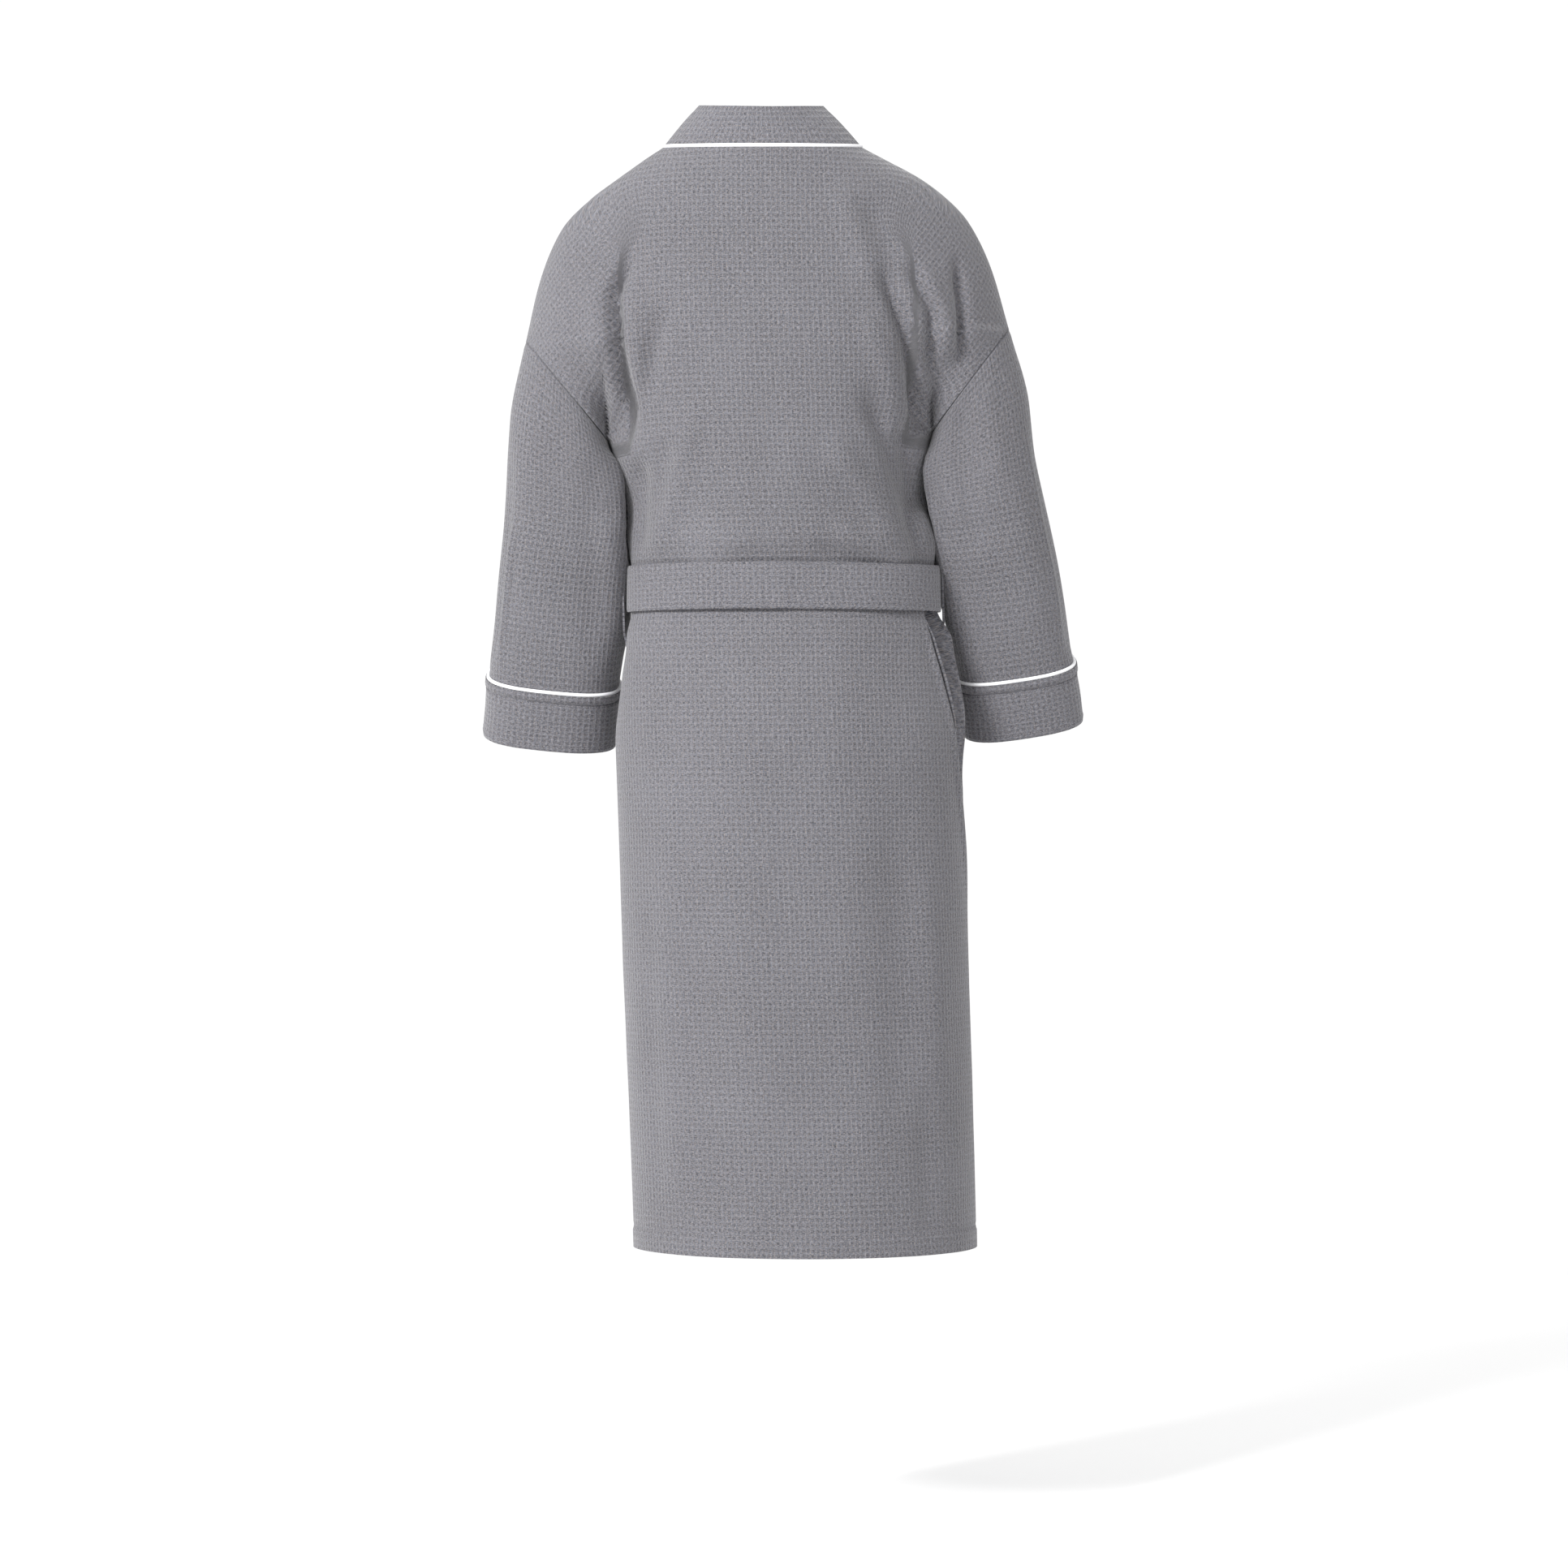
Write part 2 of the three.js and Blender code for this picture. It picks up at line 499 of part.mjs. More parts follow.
const beltFace = frontDepth(BELT_DROP) + BELT_FRONT + DOUBLE;   // outer face of the belt, in front
const KNOT = { width: 58, depth: 26, height: 50, x: 26 };
const knotShape = new THREE.SphereGeometry(1, 12, 8);
knotShape.scale(KNOT.width / 2, KNOT.depth / 2, KNOT.height / 2);
add('belt_knot', knotShape, waffle)
  .position.set(KNOT.x + sway(BELT_DROP), -beltFace - KNOT.depth / 2 - 1, -BELT_DROP);

// Each tail hangs from under the knot and lies on the sloping skirt.
const TAIL_TOP = BELT_BOTTOM + 2.5;
const skirtSlope = Math.atan((HEM_FRONT - WAIST_FRONT) / (BACK_LENGTH - BELT_DROP));
const TAIL_Y = -(frontDepth(TAIL_TOP) + LAYER + 3 + DOUBLE / 2);
const tailApart = (BELT_WIDTH + TAIL_GAP) / 2;
const tailPlaces = { belt_tail_left: TAIL_LEAN + tailApart, belt_tail_right: TAIL_LEAN - tailApart };
for (const [name, x] of Object.entries(tailPlaces)) {
  const strip = new THREE.BoxGeometry(BELT_WIDTH, DOUBLE, TAIL_LENGTH, 1, 1, 2);
  strip.translate(0, 0, -TAIL_LENGTH / 2);
  const tail = add(name, strip, waffle);
  tail.position.set(KNOT.x + x + sway(BELT_DROP), TAIL_Y, -TAIL_TOP);
  tail.rotation.x = -skirtSlope;
}

// Belt loops: a narrow strip on each side seam, standing off the belt.
const loopLeaves = mix(BELT_BOTTOM, loopBottom, 0.45);
const loopRows = [...steps(loopTop, BELT_TOP - 1, 3), BELT_DROP, ...steps(loopLeaves, loopBottom, 3)];
for (const [side, name] of [[1, 'left'], [-1, 'right']]) {
  const loop = (u, drop) => {
    const raised = Math.min(ease(loopTop, BELT_TOP - 1, drop), 1 - ease(loopLeaves, loopBottom, drop));
    const stand = mix(LOOP_CLOTH + 0.8, LOOP_STAND, raised);
    return new THREE.Vector3(side * (torsoHalf(drop) + stand) + sway(drop), u * LOOP_WIDTH, -drop);
  };
  add(`${name}_belt_loop`,
    sheet(loop, [-0.5, 0.5], loopRows, LOOP_CLOTH, { flip: side < 0 }),
    waffle);
}

// ---------- pockets ----------
// A patch on the front near each side seam, open at the top, its lower and side edges on the cloth.
const MOUTH_ROOM = PIPING_RADIUS * 2 + 0.3;
function pocketPoint(side, u, drop, off) {
  const angle = THREE.MathUtils.degToRad(mix(POCKET_FROM, POCKET_TO, u));
  const half = panelHalf(drop);
  const x = half * Math.sin(angle);
  const down = (drop - POCKET_TOP) / POCKET_HEIGHT;
  const bulge = POCKET_BULGE * Math.sin(Math.PI * u) ** 0.7 * bow(clamp01(down)) ** 0.7;
  const stand = bulge + off;
  const point = frontPoint(x, drop, side > 0 ? LAYER : 0);
  point.x = side * (x + stand * Math.sin(angle)) + sway(drop);
  point.y -= stand * Math.cos(angle);
  return point;
}
for (const [side, name] of [[1, 'left'], [-1, 'right']]) {
  add(`${name}_pocket`,
    sheet((u, drop) => pocketPoint(side, u, drop, CLOTH + 1.4), steps(0, 1, 6),
      steps(POCKET_TOP + MOUTH_ROOM, POCKET_TOP + POCKET_HEIGHT, 5), CLOTH, { flip: side > 0 }),
    waffle);
  const mouth = steps(0, 1, 6).map((u) => pocketPoint(side, u, POCKET_TOP + PIPING_RADIUS, PIPING_RADIUS + 1));
  add(`${name}_pocket_piping`, cord(mouth, PIPING_RADIUS, 6, 10), piping);
}

// ---------- hanger loop and labels ----------
// The loop hangs inside the back of the neck from two legs; its bar lies on the hook.
const hangerTop = -(NECK_DIP + 5);
const hangerShape = new THREE.Shape([
  new THREE.Vector2(-HANGER.width / 2, 0),
  new THREE.Vector2(-HANGER.width / 2, -HANGER.height),
  new THREE.Vector2(HANGER.width / 2, -HANGER.height),
  new THREE.Vector2(HANGER.width / 2, 0),
  new THREE.Vector2(HANGER.width / 2 - HANGER.strip, 0),
  new THREE.Vector2(HANGER.width / 2 - HANGER.strip, -HANGER.height + HANGER.strip),
  new THREE.Vector2(-HANGER.width / 2 + HANGER.strip, -HANGER.height + HANGER.strip),
  new THREE.Vector2(-HANGER.width / 2 + HANGER.strip, 0),
]);
const hanger = add('hanger_loop',
  new THREE.ExtrudeGeometry(hangerShape, { depth: HANGER.thick, bevelEnabled: false }), waffle);
hanger.rotation.x = Math.PI / 2;
hanger.position.set(0, backDepth(NECK_DIP) - 6.5 + HANGER.thick / 2, hangerTop);

const patch = (x0, x1, drop0, drop1) =>
  sheet((x, drop) => backPoint(x, drop, -CLOTH - 1.2), steps(x0, x1, 3), steps(drop0, drop1, 2), 0.8);
add('neck_label', patch(-28, 28, 34, 68), label);
add('care_label', patch(96, 126, HIP_DROP, HIP_DROP + 60), label);

export default robe;
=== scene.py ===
# %% [markdown]
# # A hotel bathrobe in waffle cloth
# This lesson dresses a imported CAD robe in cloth. The CAD gives the bodies, the joints and the size.
# Every cloth panel is rebuilt here as a fine grid on the same rules, so that it can carry folds,
# a waffle weave and stitching, and still sit within a few millimetres of the plain solid.

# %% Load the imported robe
import json
import math

import bmesh
import bpy
import numpy as np
from mathutils import Matrix, Vector, noise


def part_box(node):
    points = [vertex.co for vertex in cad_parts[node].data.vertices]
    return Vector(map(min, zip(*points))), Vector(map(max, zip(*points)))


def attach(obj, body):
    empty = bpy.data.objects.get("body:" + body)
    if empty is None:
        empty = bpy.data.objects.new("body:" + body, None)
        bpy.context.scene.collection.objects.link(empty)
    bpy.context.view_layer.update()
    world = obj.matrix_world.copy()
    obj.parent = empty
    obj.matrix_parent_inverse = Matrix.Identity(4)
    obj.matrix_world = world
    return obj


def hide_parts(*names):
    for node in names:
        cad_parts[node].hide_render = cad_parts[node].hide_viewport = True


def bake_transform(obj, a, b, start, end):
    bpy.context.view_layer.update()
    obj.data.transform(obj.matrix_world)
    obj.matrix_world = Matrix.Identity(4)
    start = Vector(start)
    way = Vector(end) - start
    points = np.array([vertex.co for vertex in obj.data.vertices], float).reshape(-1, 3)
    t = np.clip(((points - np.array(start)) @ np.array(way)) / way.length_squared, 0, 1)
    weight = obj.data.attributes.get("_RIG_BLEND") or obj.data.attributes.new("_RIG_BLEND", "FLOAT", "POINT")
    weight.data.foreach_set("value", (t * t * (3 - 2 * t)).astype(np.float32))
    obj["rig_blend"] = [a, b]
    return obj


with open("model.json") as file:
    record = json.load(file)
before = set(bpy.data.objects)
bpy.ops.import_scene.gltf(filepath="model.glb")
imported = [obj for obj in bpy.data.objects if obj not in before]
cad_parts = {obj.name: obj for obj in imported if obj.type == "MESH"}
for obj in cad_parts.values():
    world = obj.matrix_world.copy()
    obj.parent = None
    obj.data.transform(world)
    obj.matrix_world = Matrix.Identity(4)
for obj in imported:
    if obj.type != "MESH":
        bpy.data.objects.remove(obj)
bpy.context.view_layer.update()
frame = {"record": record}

# %% [markdown]
# ## Sizes
# Lengths are in metres. A height is given as a drop below the shoulders, as a tailor measures it,
# and a half width is measured from the middle of the back.

# %% The robe's sizes
BACK_LENGTH, NECK_HALF, NECK_DIP = 1.245, 0.110, 0.009
SHOULDER_HALF, ARMPIT_HALF = 0.274, 0.182
ARMHOLE_TOP, ARMHOLE_BOTTOM, ARM_DEPTH = 0.214, 0.330, 0.062
CHEST_HALF, WAIST_HALF, HIP_HALF, HEM_HALF = 0.163, 0.172, 0.196, 0.194
HIP_DROP, WAIST_SWAY = 0.680, 0.011
NECK_BACK, SHOULDER_BLADES, WAIST_BACK, SEAT, HEM_BACK = 0.074, 0.125, 0.098, 0.132, 0.145
NECK_FRONT, CHEST_FRONT, WAIST_FRONT, HEM_FRONT = 0.070, 0.131, 0.113, 0.160
SLEEVE_LENGTH, SLEEVE_HALF, SLEEVE_DEPTH, CUFF_HEIGHT = 0.340, 0.070, 0.058, 0.069
BAND_WIDTH, FRONT_OVERLAP, LAYER = 0.046, 0.110, 0.007
BELT_DROP, BELT_WIDTH = 0.501, 0.052
POCKET_TOP, POCKET_HEIGHT, POCKET_BULGE = 0.690, 0.180, 0.009
POCKET_FROM, POCKET_TO = 37, 76        # degrees round the front from its middle
HEM_DEPTH = 0.0235
LEVEL_TILT = 0.026                     # rise of the collar, belt and hem for each metre sideways
CLOTH, DOUBLE, PIPING = 0.0020, 0.0036, 0.0021
BELT_TOP, BELT_BOTTOM = BELT_DROP - BELT_WIDTH / 2, BELT_DROP + BELT_WIDTH / 2
SIDES = ((1, "left"), (-1, "right"))
print("belt from", BELT_TOP, "to", BELT_BOTTOM, "below the shoulders")

# %% [markdown]
# ## Smooth rules
# A tailor's curve passes through a few measured points and never swings past them. `curve` does the
# same with harmonic tangents, and works on whole arrays, so a grid of thousands of points is quick.

# %% Easing and smooth curves
def ease(a, b, t):
    s = np.clip((np.asarray(t, float) - a) / (b - a), 0, 1)
    return s * s * (3 - 2 * s)


def mix(a, b, t):
    return a + (b - a) * t


def curve(*knots):
    x, y = np.array(knots, float).T
    slope = np.diff(y) / np.diff(x)
    before, after = np.r_[slope[0], slope], np.r_[slope, slope[-1]]
    same = before * after > 0
    tangent = np.where(same, 2 * before * after / np.where(same, before + after, 1), 0)

    def at(value):
        value = np.asarray(value, float)
        i = np.clip(np.searchsorted(x, value) - 1, 0, len(x) - 2)
        h = x[i + 1] - x[i]
        t = np.clip((value - x[i]) / h, 0, 1)
        bend = h * t * (1 - t) * ((1 - t) * tangent[i] - t * tangent[i + 1])
        return mix(y[i], y[i + 1], t * t * (3 - 2 * t)) + bend

    return at


def stack(x, y, z):
    return np.stack(np.broadcast_arrays(x, y, z), axis=-1).astype(float)


def bow(t):
    return np.sqrt(np.maximum(0, 1 - np.asarray(t, float) ** 2))


ARMHOLE_POWER = 0.82


def full_bow(t, power):
    """Half an oval with squarer shoulders than an ellipse's; a power of 1 is the ellipse."""
    return np.maximum(0, 1 - np.abs(t) ** (2 / power)) ** (power / 2)


# %% The body's half widths and depths
ridge = curve((0, 0), (0.08, 0.177), (0.25, 0.518), (0.425, 0.738), (0.68, 0.89), (1, 1))
torso_half = curve(
    (ARMHOLE_BOTTOM, ARMPIT_HALF), (0.355, mix(ARMPIT_HALF, CHEST_HALF, 0.6)), (0.400, CHEST_HALF),
    (BELT_TOP, WAIST_HALF), (BELT_BOTTOM, WAIST_HALF + 0.001),
    (mix(BELT_BOTTOM, HIP_DROP, 0.5), mix(WAIST_HALF, HIP_HALF, 0.58)), (HIP_DROP, HIP_HALF),
    (BACK_LENGTH, HEM_HALF))
back_depth = curve(
    (0, NECK_BACK), (0.054, mix(NECK_BACK, SHOULDER_BLADES, 0.45)),
    (0.120, mix(NECK_BACK, SHOULDER_BLADES, 0.8)), (0.200, SHOULDER_BLADES),
    (ARMHOLE_BOTTOM, SHOULDER_BLADES - 0.003),
    (mix(ARMHOLE_BOTTOM, BELT_TOP, 0.7), mix(SHOULDER_BLADES, WAIST_BACK, 0.6)),
    (BELT_TOP, WAIST_BACK), (BELT_BOTTOM, WAIST_BACK + 0.001), (HIP_DROP, SEAT),
    (BACK_LENGTH, HEM_BACK))
front_above = curve(
    (0, NECK_FRONT), (0.054, mix(NECK_FRONT, CHEST_FRONT, 0.25)),
    (0.120, mix(NECK_FRONT, CHEST_FRONT, 0.56)), (0.200, mix(NECK_FRONT, CHEST_FRONT, 0.84)),
    (ARMHOLE_BOTTOM, CHEST_FRONT),
    (mix(ARMHOLE_BOTTOM, BELT_DROP, 0.6), mix(CHEST_FRONT, WAIST_FRONT, 0.5)),
    (BELT_DROP, WAIST_FRONT))


def front_depth(drop):
    below = mix(WAIST_FRONT, HEM_FRONT, (drop - BELT_DROP) / (BACK_LENGTH - BELT_DROP))
    return np.where(drop < BELT_DROP, front_above(drop), below)


def sway(drop):
    return -WAIST_SWAY * ease(ARMHOLE_BOTTOM, BELT_DROP, drop) - 0.005 * ease(0.55, BACK_LENGTH, drop)


def levelled(places, drop):
    """The wearer leans a little, but the collar, belt and hem still hang level."""
    near_middle = 1 - ease(0.10, 0.18, np.abs(places[..., 0]))
    share = np.maximum(near_middle, ease(0.40, 0.46, drop))
    return places + stack(0 * share, 0, LEVEL_TILT * places[..., 0] * share)


def over_arms(drop):
    drop = np.asarray(drop, float)
    top = mix(NECK_HALF, SHOULDER_HALF, ridge(drop / ARMHOLE_TOP))
    return np.where(drop < ARMHOLE_TOP, top, SHOULDER_HALF + 0.15 * (drop - ARMHOLE_TOP))


def panel_half(drop):
    drop = np.asarray(drop, float)
    lean = (SHOULDER_HALF - ARMPIT_HALF) / (ARMHOLE_BOTTOM - ARMHOLE_TOP)
    slant = SHOULDER_HALF - lean * (drop - ARMHOLE_TOP)
    lower = np.where(drop < ARMHOLE_BOTTOM, slant, torso_half(drop))
    return np.where(drop <= ARMHOLE_TOP, over_arms(drop), lower)


def depth_at(x, drop, depth):
    """How far cloth stands from the side seams' plane, x from the middle."""
    half = panel_half(drop)
    share = ease(ARMHOLE_TOP, ARMHOLE_BOTTOM, drop)

    def plain(s):
        upper = bow(np.minimum(1, s / over_arms(drop)))
        return depth * mix(upper, bow(np.minimum(1, s / ARMPIT_HALF)), share)

    middle = (SHOULDER_HALF + ARMPIT_HALF) / 2
    rim = ARM_DEPTH * full_bow((half - middle) / (SHOULDER_HALF - middle), ARMHOLE_POWER)
    near = ARMPIT_HALF * mix(0.66, 0.95, ease(ARMHOLE_TOP, ARMHOLE_BOTTOM, drop))
    pulled = plain(x) + (rim - plain(half)) * ease(near, half, x)
    level = (drop > ARMHOLE_TOP) & (drop < ARMHOLE_BOTTOM)
    return np.where(level, pulled, depth * bow(np.minimum(1, x / half)))


print("half width at the hem", float(panel_half(BACK_LENGTH)), "depth", float(back_depth(BACK_LENGTH)))

# %% [markdown]
# ## From a grid to a cloth piece
# Cloth is a thin sheet. Each piece is a grid of places with a flat cutting-table place for every
# point, kept as a UV map in metres of cloth, so that the weave follows the grain. Solidify then gives
# the sheet its thickness on the inner side, and the result is taken as a plain mesh.

# %% Grids, folds and thickness
CLOTH_MAP = 0.80        # metres of cloth along one side of the UV map


def grid_normals(places, closed=False):
    if closed:
        wide = np.concatenate([places[:, -1:], places, places[:, :1]], axis=1)
        across = (wide[:, 2:] - wide[:, :-2])
    else:
        across = np.gradient(places, axis=1)
    n = np.cross(across, np.gradient(places, axis=0))
    return n / np.maximum(np.linalg.norm(n, axis=-1, keepdims=True), 1e-12)


def outward(places, closed=False, about=None):
    """Unit normals that point away from each row's own middle, or from `about`."""
    n = grid_normals(places, closed)
    middle = places.mean(axis=1, keepdims=True) if about is None else about
    return n if (n * (places - middle)).sum() > 0 else -n


def arc(places, closed=False):
    """Length of cloth along each row, measured from the row's middle, or from its start if closed."""
    steps = np.linalg.norm(np.diff(places, axis=1), axis=-1)
    length = np.concatenate([np.zeros((len(places), 1)), np.cumsum(steps, axis=1)], axis=1)
    return length if closed else length - length[:, length.shape[1] // 2][:, None]


def linked(name, data):
    made = bpy.data.objects.new(name, data)
    bpy.context.collection.objects.link(made)
    return made


def girth_of(places):
    """Length of cloth round each closed row, with one more column where the cut closes."""
    around = np.linalg.norm(np.roll(places, -1, axis=1) - places, axis=-1)
    return np.concatenate([np.zeros((len(places), 1)), np.cumsum(around, axis=1)], axis=1)


def cloth(name, places, flat, thickness, material, closed=False, about=None):
    rows, columns = places.shape[:2]
    n = grid_normals(places, closed)
    middle = places.mean(axis=1, keepdims=True) if about is None else about
    turned = (n * (places - middle)).sum() < 0
    mesh = bpy.data.meshes.new(name)
    last = columns if closed else columns - 1
    corners = [(0, 0), (0, 1), (1, 1), (1, 0)]
    corners = corners[::-1] if turned else corners
    quads = [[(r + a, c + b) for a, b in corners] for r in range(rows - 1) for c in range(last)]
    mesh.from_pydata(places.reshape(-1, 3).tolist(), [],
                     [[r * columns + c % columns for r, c in quad] for quad in quads])
    uv = mesh.uv_layers.new(name="cloth")
    spread = np.array([flat[r, c] for quad in quads for r, c in quad], np.float32)
    spread = spread / CLOTH_MAP
    low = spread.min(axis=0)
    uv.data.foreach_set("uv", (spread - low + 0.01).ravel())
    made = linked(name, mesh)
    mesh.materials.append(material)
    solid = made.modifiers.new("thickness", "SOLIDIFY")
    solid.thickness, solid.offset, solid.use_even_offset = thickness, -1, False
    finished(made)
    return made


def finished(made, smooth=60):
    """Takes what the modifiers make as a plain mesh, shaded smooth except at its sharp edges."""
    bpy.context.view_layer.update()
    shown = made.evaluated_get(bpy.context.evaluated_depsgraph_get())
    mesh = bpy.data.meshes.new_from_object(shown)
    mesh.name = made.name
    made.modifiers.clear()
    if made.type == "MESH":
        made.data = mesh
    mesh.shade_smooth()
    mesh.set_sharp_from_angle(angle=math.radians(smooth))
    return mesh


def fold(x, drop, path, width, height, taper=0.25):
    """A ridge (or a valley, if height is negative) along a path of (x, drop) places."""
    path = np.array(path, float)
    legs = np.linalg.norm(np.diff(path, axis=0), axis=1)
    total, gone = legs.sum(), 0.0
    best = np.full(np.shape(x), 1e9)
    where = np.zeros(np.shape(x))
    for (ax, ad), (bx, bd), leg in zip(path, path[1:], legs):
        t = ((x - ax) * (bx - ax) + (drop - ad) * (bd - ad)) / leg**2
        held = np.clip(t, 0, 1)
        away = np.hypot(x - ax - held * (bx - ax), drop - ad - held * (bd - ad))
        nearer = away < best
        best = np.where(nearer, away, best)
        where = np.where(nearer, (gone + held * leg) / total, where)
        gone += leg
    ends = np.minimum(ease(0, taper, where), ease(0, taper, 1 - where))
    return height * np.exp(-((best / width) ** 2)) * ends


def ripple(x, drop, across, down, size, seed):
    """Slow, shallow unevenness, as pressed cloth has."""
    flat = np.array([noise.noise(Vector((a / across, b / down, seed)))
                     for a, b in zip(np.ravel(x), np.ravel(drop))])
    return size * flat.reshape(np.shape(x))


print("helpers ready")

# %% [markdown]
# ## The weave
# Waffle cloth has raised threads in a small grid with sunk cells between them, and this one is woven
# from grey yarn with paler and darker flecks. The sunk cells are also painted darker than the threads,
# as painted shade. The weave reads the cutting-table map, so its lines turn with the cloth. Shader
# arithmetic is easier to read as plain expressions, so a small class wraps a socket and turns each
# operator into its Math node.

# %% Shader arithmetic
class Wire:
    def __init__(self, socket):
        self.socket = socket
        self.tree = socket.id_data

    def maths(self, operation, *others):
        node = self.tree.nodes.new("ShaderNodeMath")
        node.operation = operation
        for place, value in zip(node.inputs, others):
            if isinstance(value, Wire):
                self.tree.links.new(value.socket, place)
            else:
                place.default_value = value
        return Wire(node.outputs[0])

    def __add__(self, other):
        return self.maths("ADD", self, other)

    def __sub__(self, other):
        return self.maths("SUBTRACT", self, other)

    def __rsub__(self, other):
        return self.maths("SUBTRACT", other, self)

    def __mul__(self, other):
        return self.maths("MULTIPLY", self, other)

    def __truediv__(self, other):
        return self.maths("DIVIDE", self, other)

    def __pow__(self, other):
        return self.maths("POWER", self, other)

    __radd__, __rmul__ = __add__, __mul__

    def sine(self):
        return self.maths("SINE", self)

    def size(self):
        return self.maths("ABSOLUTE", self)

    def held(self, low, high):
        return self.maths("MINIMUM", self.maths("MAXIMUM", self, low), high)


class Finish:
    """A material and the one method that adds its nodes: settings first, then socket values."""

    def __init__(self, name):
        self.material = bpy.data.materials.new(name)
        self.material.use_nodes = True
        self.tree = self.material.node_tree
        self.shader = self.tree.nodes["Principled BSDF"]

    def node(self, kind, settings=(), **values):
        made = self.tree.nodes.new("ShaderNode" + kind)
        for key, value in dict(settings).items():
            setattr(made, key, value)
        self.fill(made, values)
        return made

    def fill(self, made, values):
        for key, value in values.items():
            place = made.inputs[int(key[1:]) if key[1:].isdigit() else key.replace("_", " ")]
            if isinstance(value, Wire):
                self.tree.links.new(value.socket, place)
            else:
                place.default_value = value

    def out(self, kind, settings=(), output=0, **values):
        return Wire(self.node(kind, settings, **values).outputs[output])


# %% Waffle cloth
def waffle(name, pale, deep, across=0.0055, down=0.0068, relief=0.0011, quarter=False):
    """Waffle cloth. A quarter turn swaps the cell's width and height, as on a crosswise-cut strip."""
    make = Finish(name)
    metres = make.out("VectorMath", {"operation": "SCALE"}, Scale=CLOTH_MAP,
                      _0=make.out("UVMap", {"uv_map": "cloth"}))
    split = make.node("SeparateXYZ", _0=metres)
    x, y = Wire(split.outputs["X"]), Wire(split.outputs["Y"])
    wander = make.out("TexNoise", {"noise_dimensions": "2D"}, Vector=metres, Scale=95, Detail=1.0)
    cells = (down, across) if quarter else (across, down)
    u = x / cells[0] + (wander - 0.5) * 0.26
    v = y / cells[1] + (wander - 0.5) * 0.22
    hollow = ((u * math.pi).sine().size() * (v * math.pi).sine().size()) ** 0.75
    rib = (v * (2 * math.pi)).sine().size()
    weft = make.out("Mapping", Vector=metres, Scale=(240, 1150, 1))
    warp = make.out("Mapping", Vector=metres, Scale=(1150, 300, 1))
    along = make.out("TexNoise", {"noise_dimensions": "2D"}, Vector=weft, Scale=1, Detail=2.5)
    upward = make.out("TexNoise", {"noise_dimensions": "2D"}, Vector=warp, Scale=1, Detail=2.0)
    fuzz = make.out("TexNoise", {"noise_dimensions": "2D"}, Vector=metres, Scale=1500, Detail=2.0)
    shade = make.out("TexNoise", {"noise_dimensions": "2D"}, Vector=metres, Scale=9, Detail=2.0)
    # Painted shade: the hollow term colours the sunk cells darker than the raised threads. The along,
    # upward, fuzz and shade terms are the yarn's own uneven tone.
    tone_and_painted_shade = (0.63 - hollow * 0.35 + (along - 0.5) * 1.7 + (upward - 0.5) * 1.2
            + (fuzz - 0.5) * 0.35 + (shade - 0.5) * 0.22).held(0, 1)
    base = make.out("Mix", {"data_type": "RGBA"}, output=2, _0=tone_and_painted_shade, _6=deep, _7=pale)
    flecks = make.out("TexNoise", {"noise_dimensions": "2D"}, Vector=weft, Scale=1.9, Detail=1.0)
    warm = ((flecks - 0.55) * 6).held(0, 0.55)
    tan = tuple(mix(a, b, 0.5) for a, b in zip(pale, (0.42, 0.33, 0.25, 1)))
    coloured = make.out("Mix", {"data_type": "RGBA"}, output=2, _0=warm, _6=base, _7=tan)
    height = (1 - hollow) * 0.8 + rib * 0.10 + (along - 0.5) * 0.25 + (fuzz - 0.5) * 0.35
    bump = make.out("Bump", Strength=0.9, Distance=relief, Height=height)
    make.fill(make.shader, {"Base Color": coloured, "Roughness": 0.92 - tone_and_painted_shade * 0.10, "Normal": bump,
                            "Sheen Weight": 0.30, "Sheen Roughness": 0.40, "Specular IOR Level": 0.2})
    return make.material


grey = waffle("grey_waffle", (0.188, 0.192, 0.220, 1), (0.052, 0.053, 0.062, 1))
band_grey = waffle("grey_waffle_crosswise", (0.192, 0.196, 0.224, 1), (0.050, 0.051, 0.061, 1),
                   quarter=True)
print("made", grey.name, "and", band_grey.name)


# %% White piping, thread and label
def plain_weave(name, colour, pitch, relief):
    make = Finish(name)
    place = make.out("TexCoord", output=3)
    split = make.node("SeparateXYZ", _0=place)
    x, y, z = (Wire(split.outputs[axis]) for axis in "XYZ")
    twill = ((x + y * 0.7 + z) / pitch * math.pi).sine().size()
    fibre = make.out("TexNoise", Vector=place, Scale=900, Detail=2.0)
    # Painted shade: the twill term colours the raised threads paler and the grooves darker, towards the dull
    # colour. The fibre term is the yarn's own uneven tone.
    tone_and_painted_shade = (0.84 + twill * 0.10 + (fibre - 0.5) * 0.18).held(0, 1)
    dull = tuple(c * 0.70 for c in colour[:3]) + (1,)
    seen = make.out("Mix", {"data_type": "RGBA"}, output=2, _0=tone_and_painted_shade, _6=dull, _7=colour)
    bump = make.out("Bump", Strength=0.5, Distance=relief, Height=twill * 0.7 + fibre * 0.3)
    make.fill(make.shader, {"Base Color": seen, "Roughness": 0.80 - tone_and_painted_shade * 0.12, "Normal": bump,
                            "Sheen Weight": 0.08, "Specular IOR Level": 0.3})
    return make.material


white = plain_weave("white_piping", (0.90, 0.90, 0.92, 1), 0.0012, 0.0002)
thread = plain_weave("grey_thread", (0.24, 0.235, 0.255, 1), 0.0006, 0.0001)
label = plain_weave("blank_label", (0.78, 0.76, 0.70, 1), 0.0009, 0.0002)
print("made", white.name, thread.name, label.name)

# %% [markdown]
# ## The body
# The back is one panel from collar to hem, drawn here as two pieces that meet under the belt. A ring
# rule gives every place on the body: an angle round it, 0 at the middle of the front and a quarter
# turn at the wearer's side, and a drop. Folds are then pushed out of or into that surface.

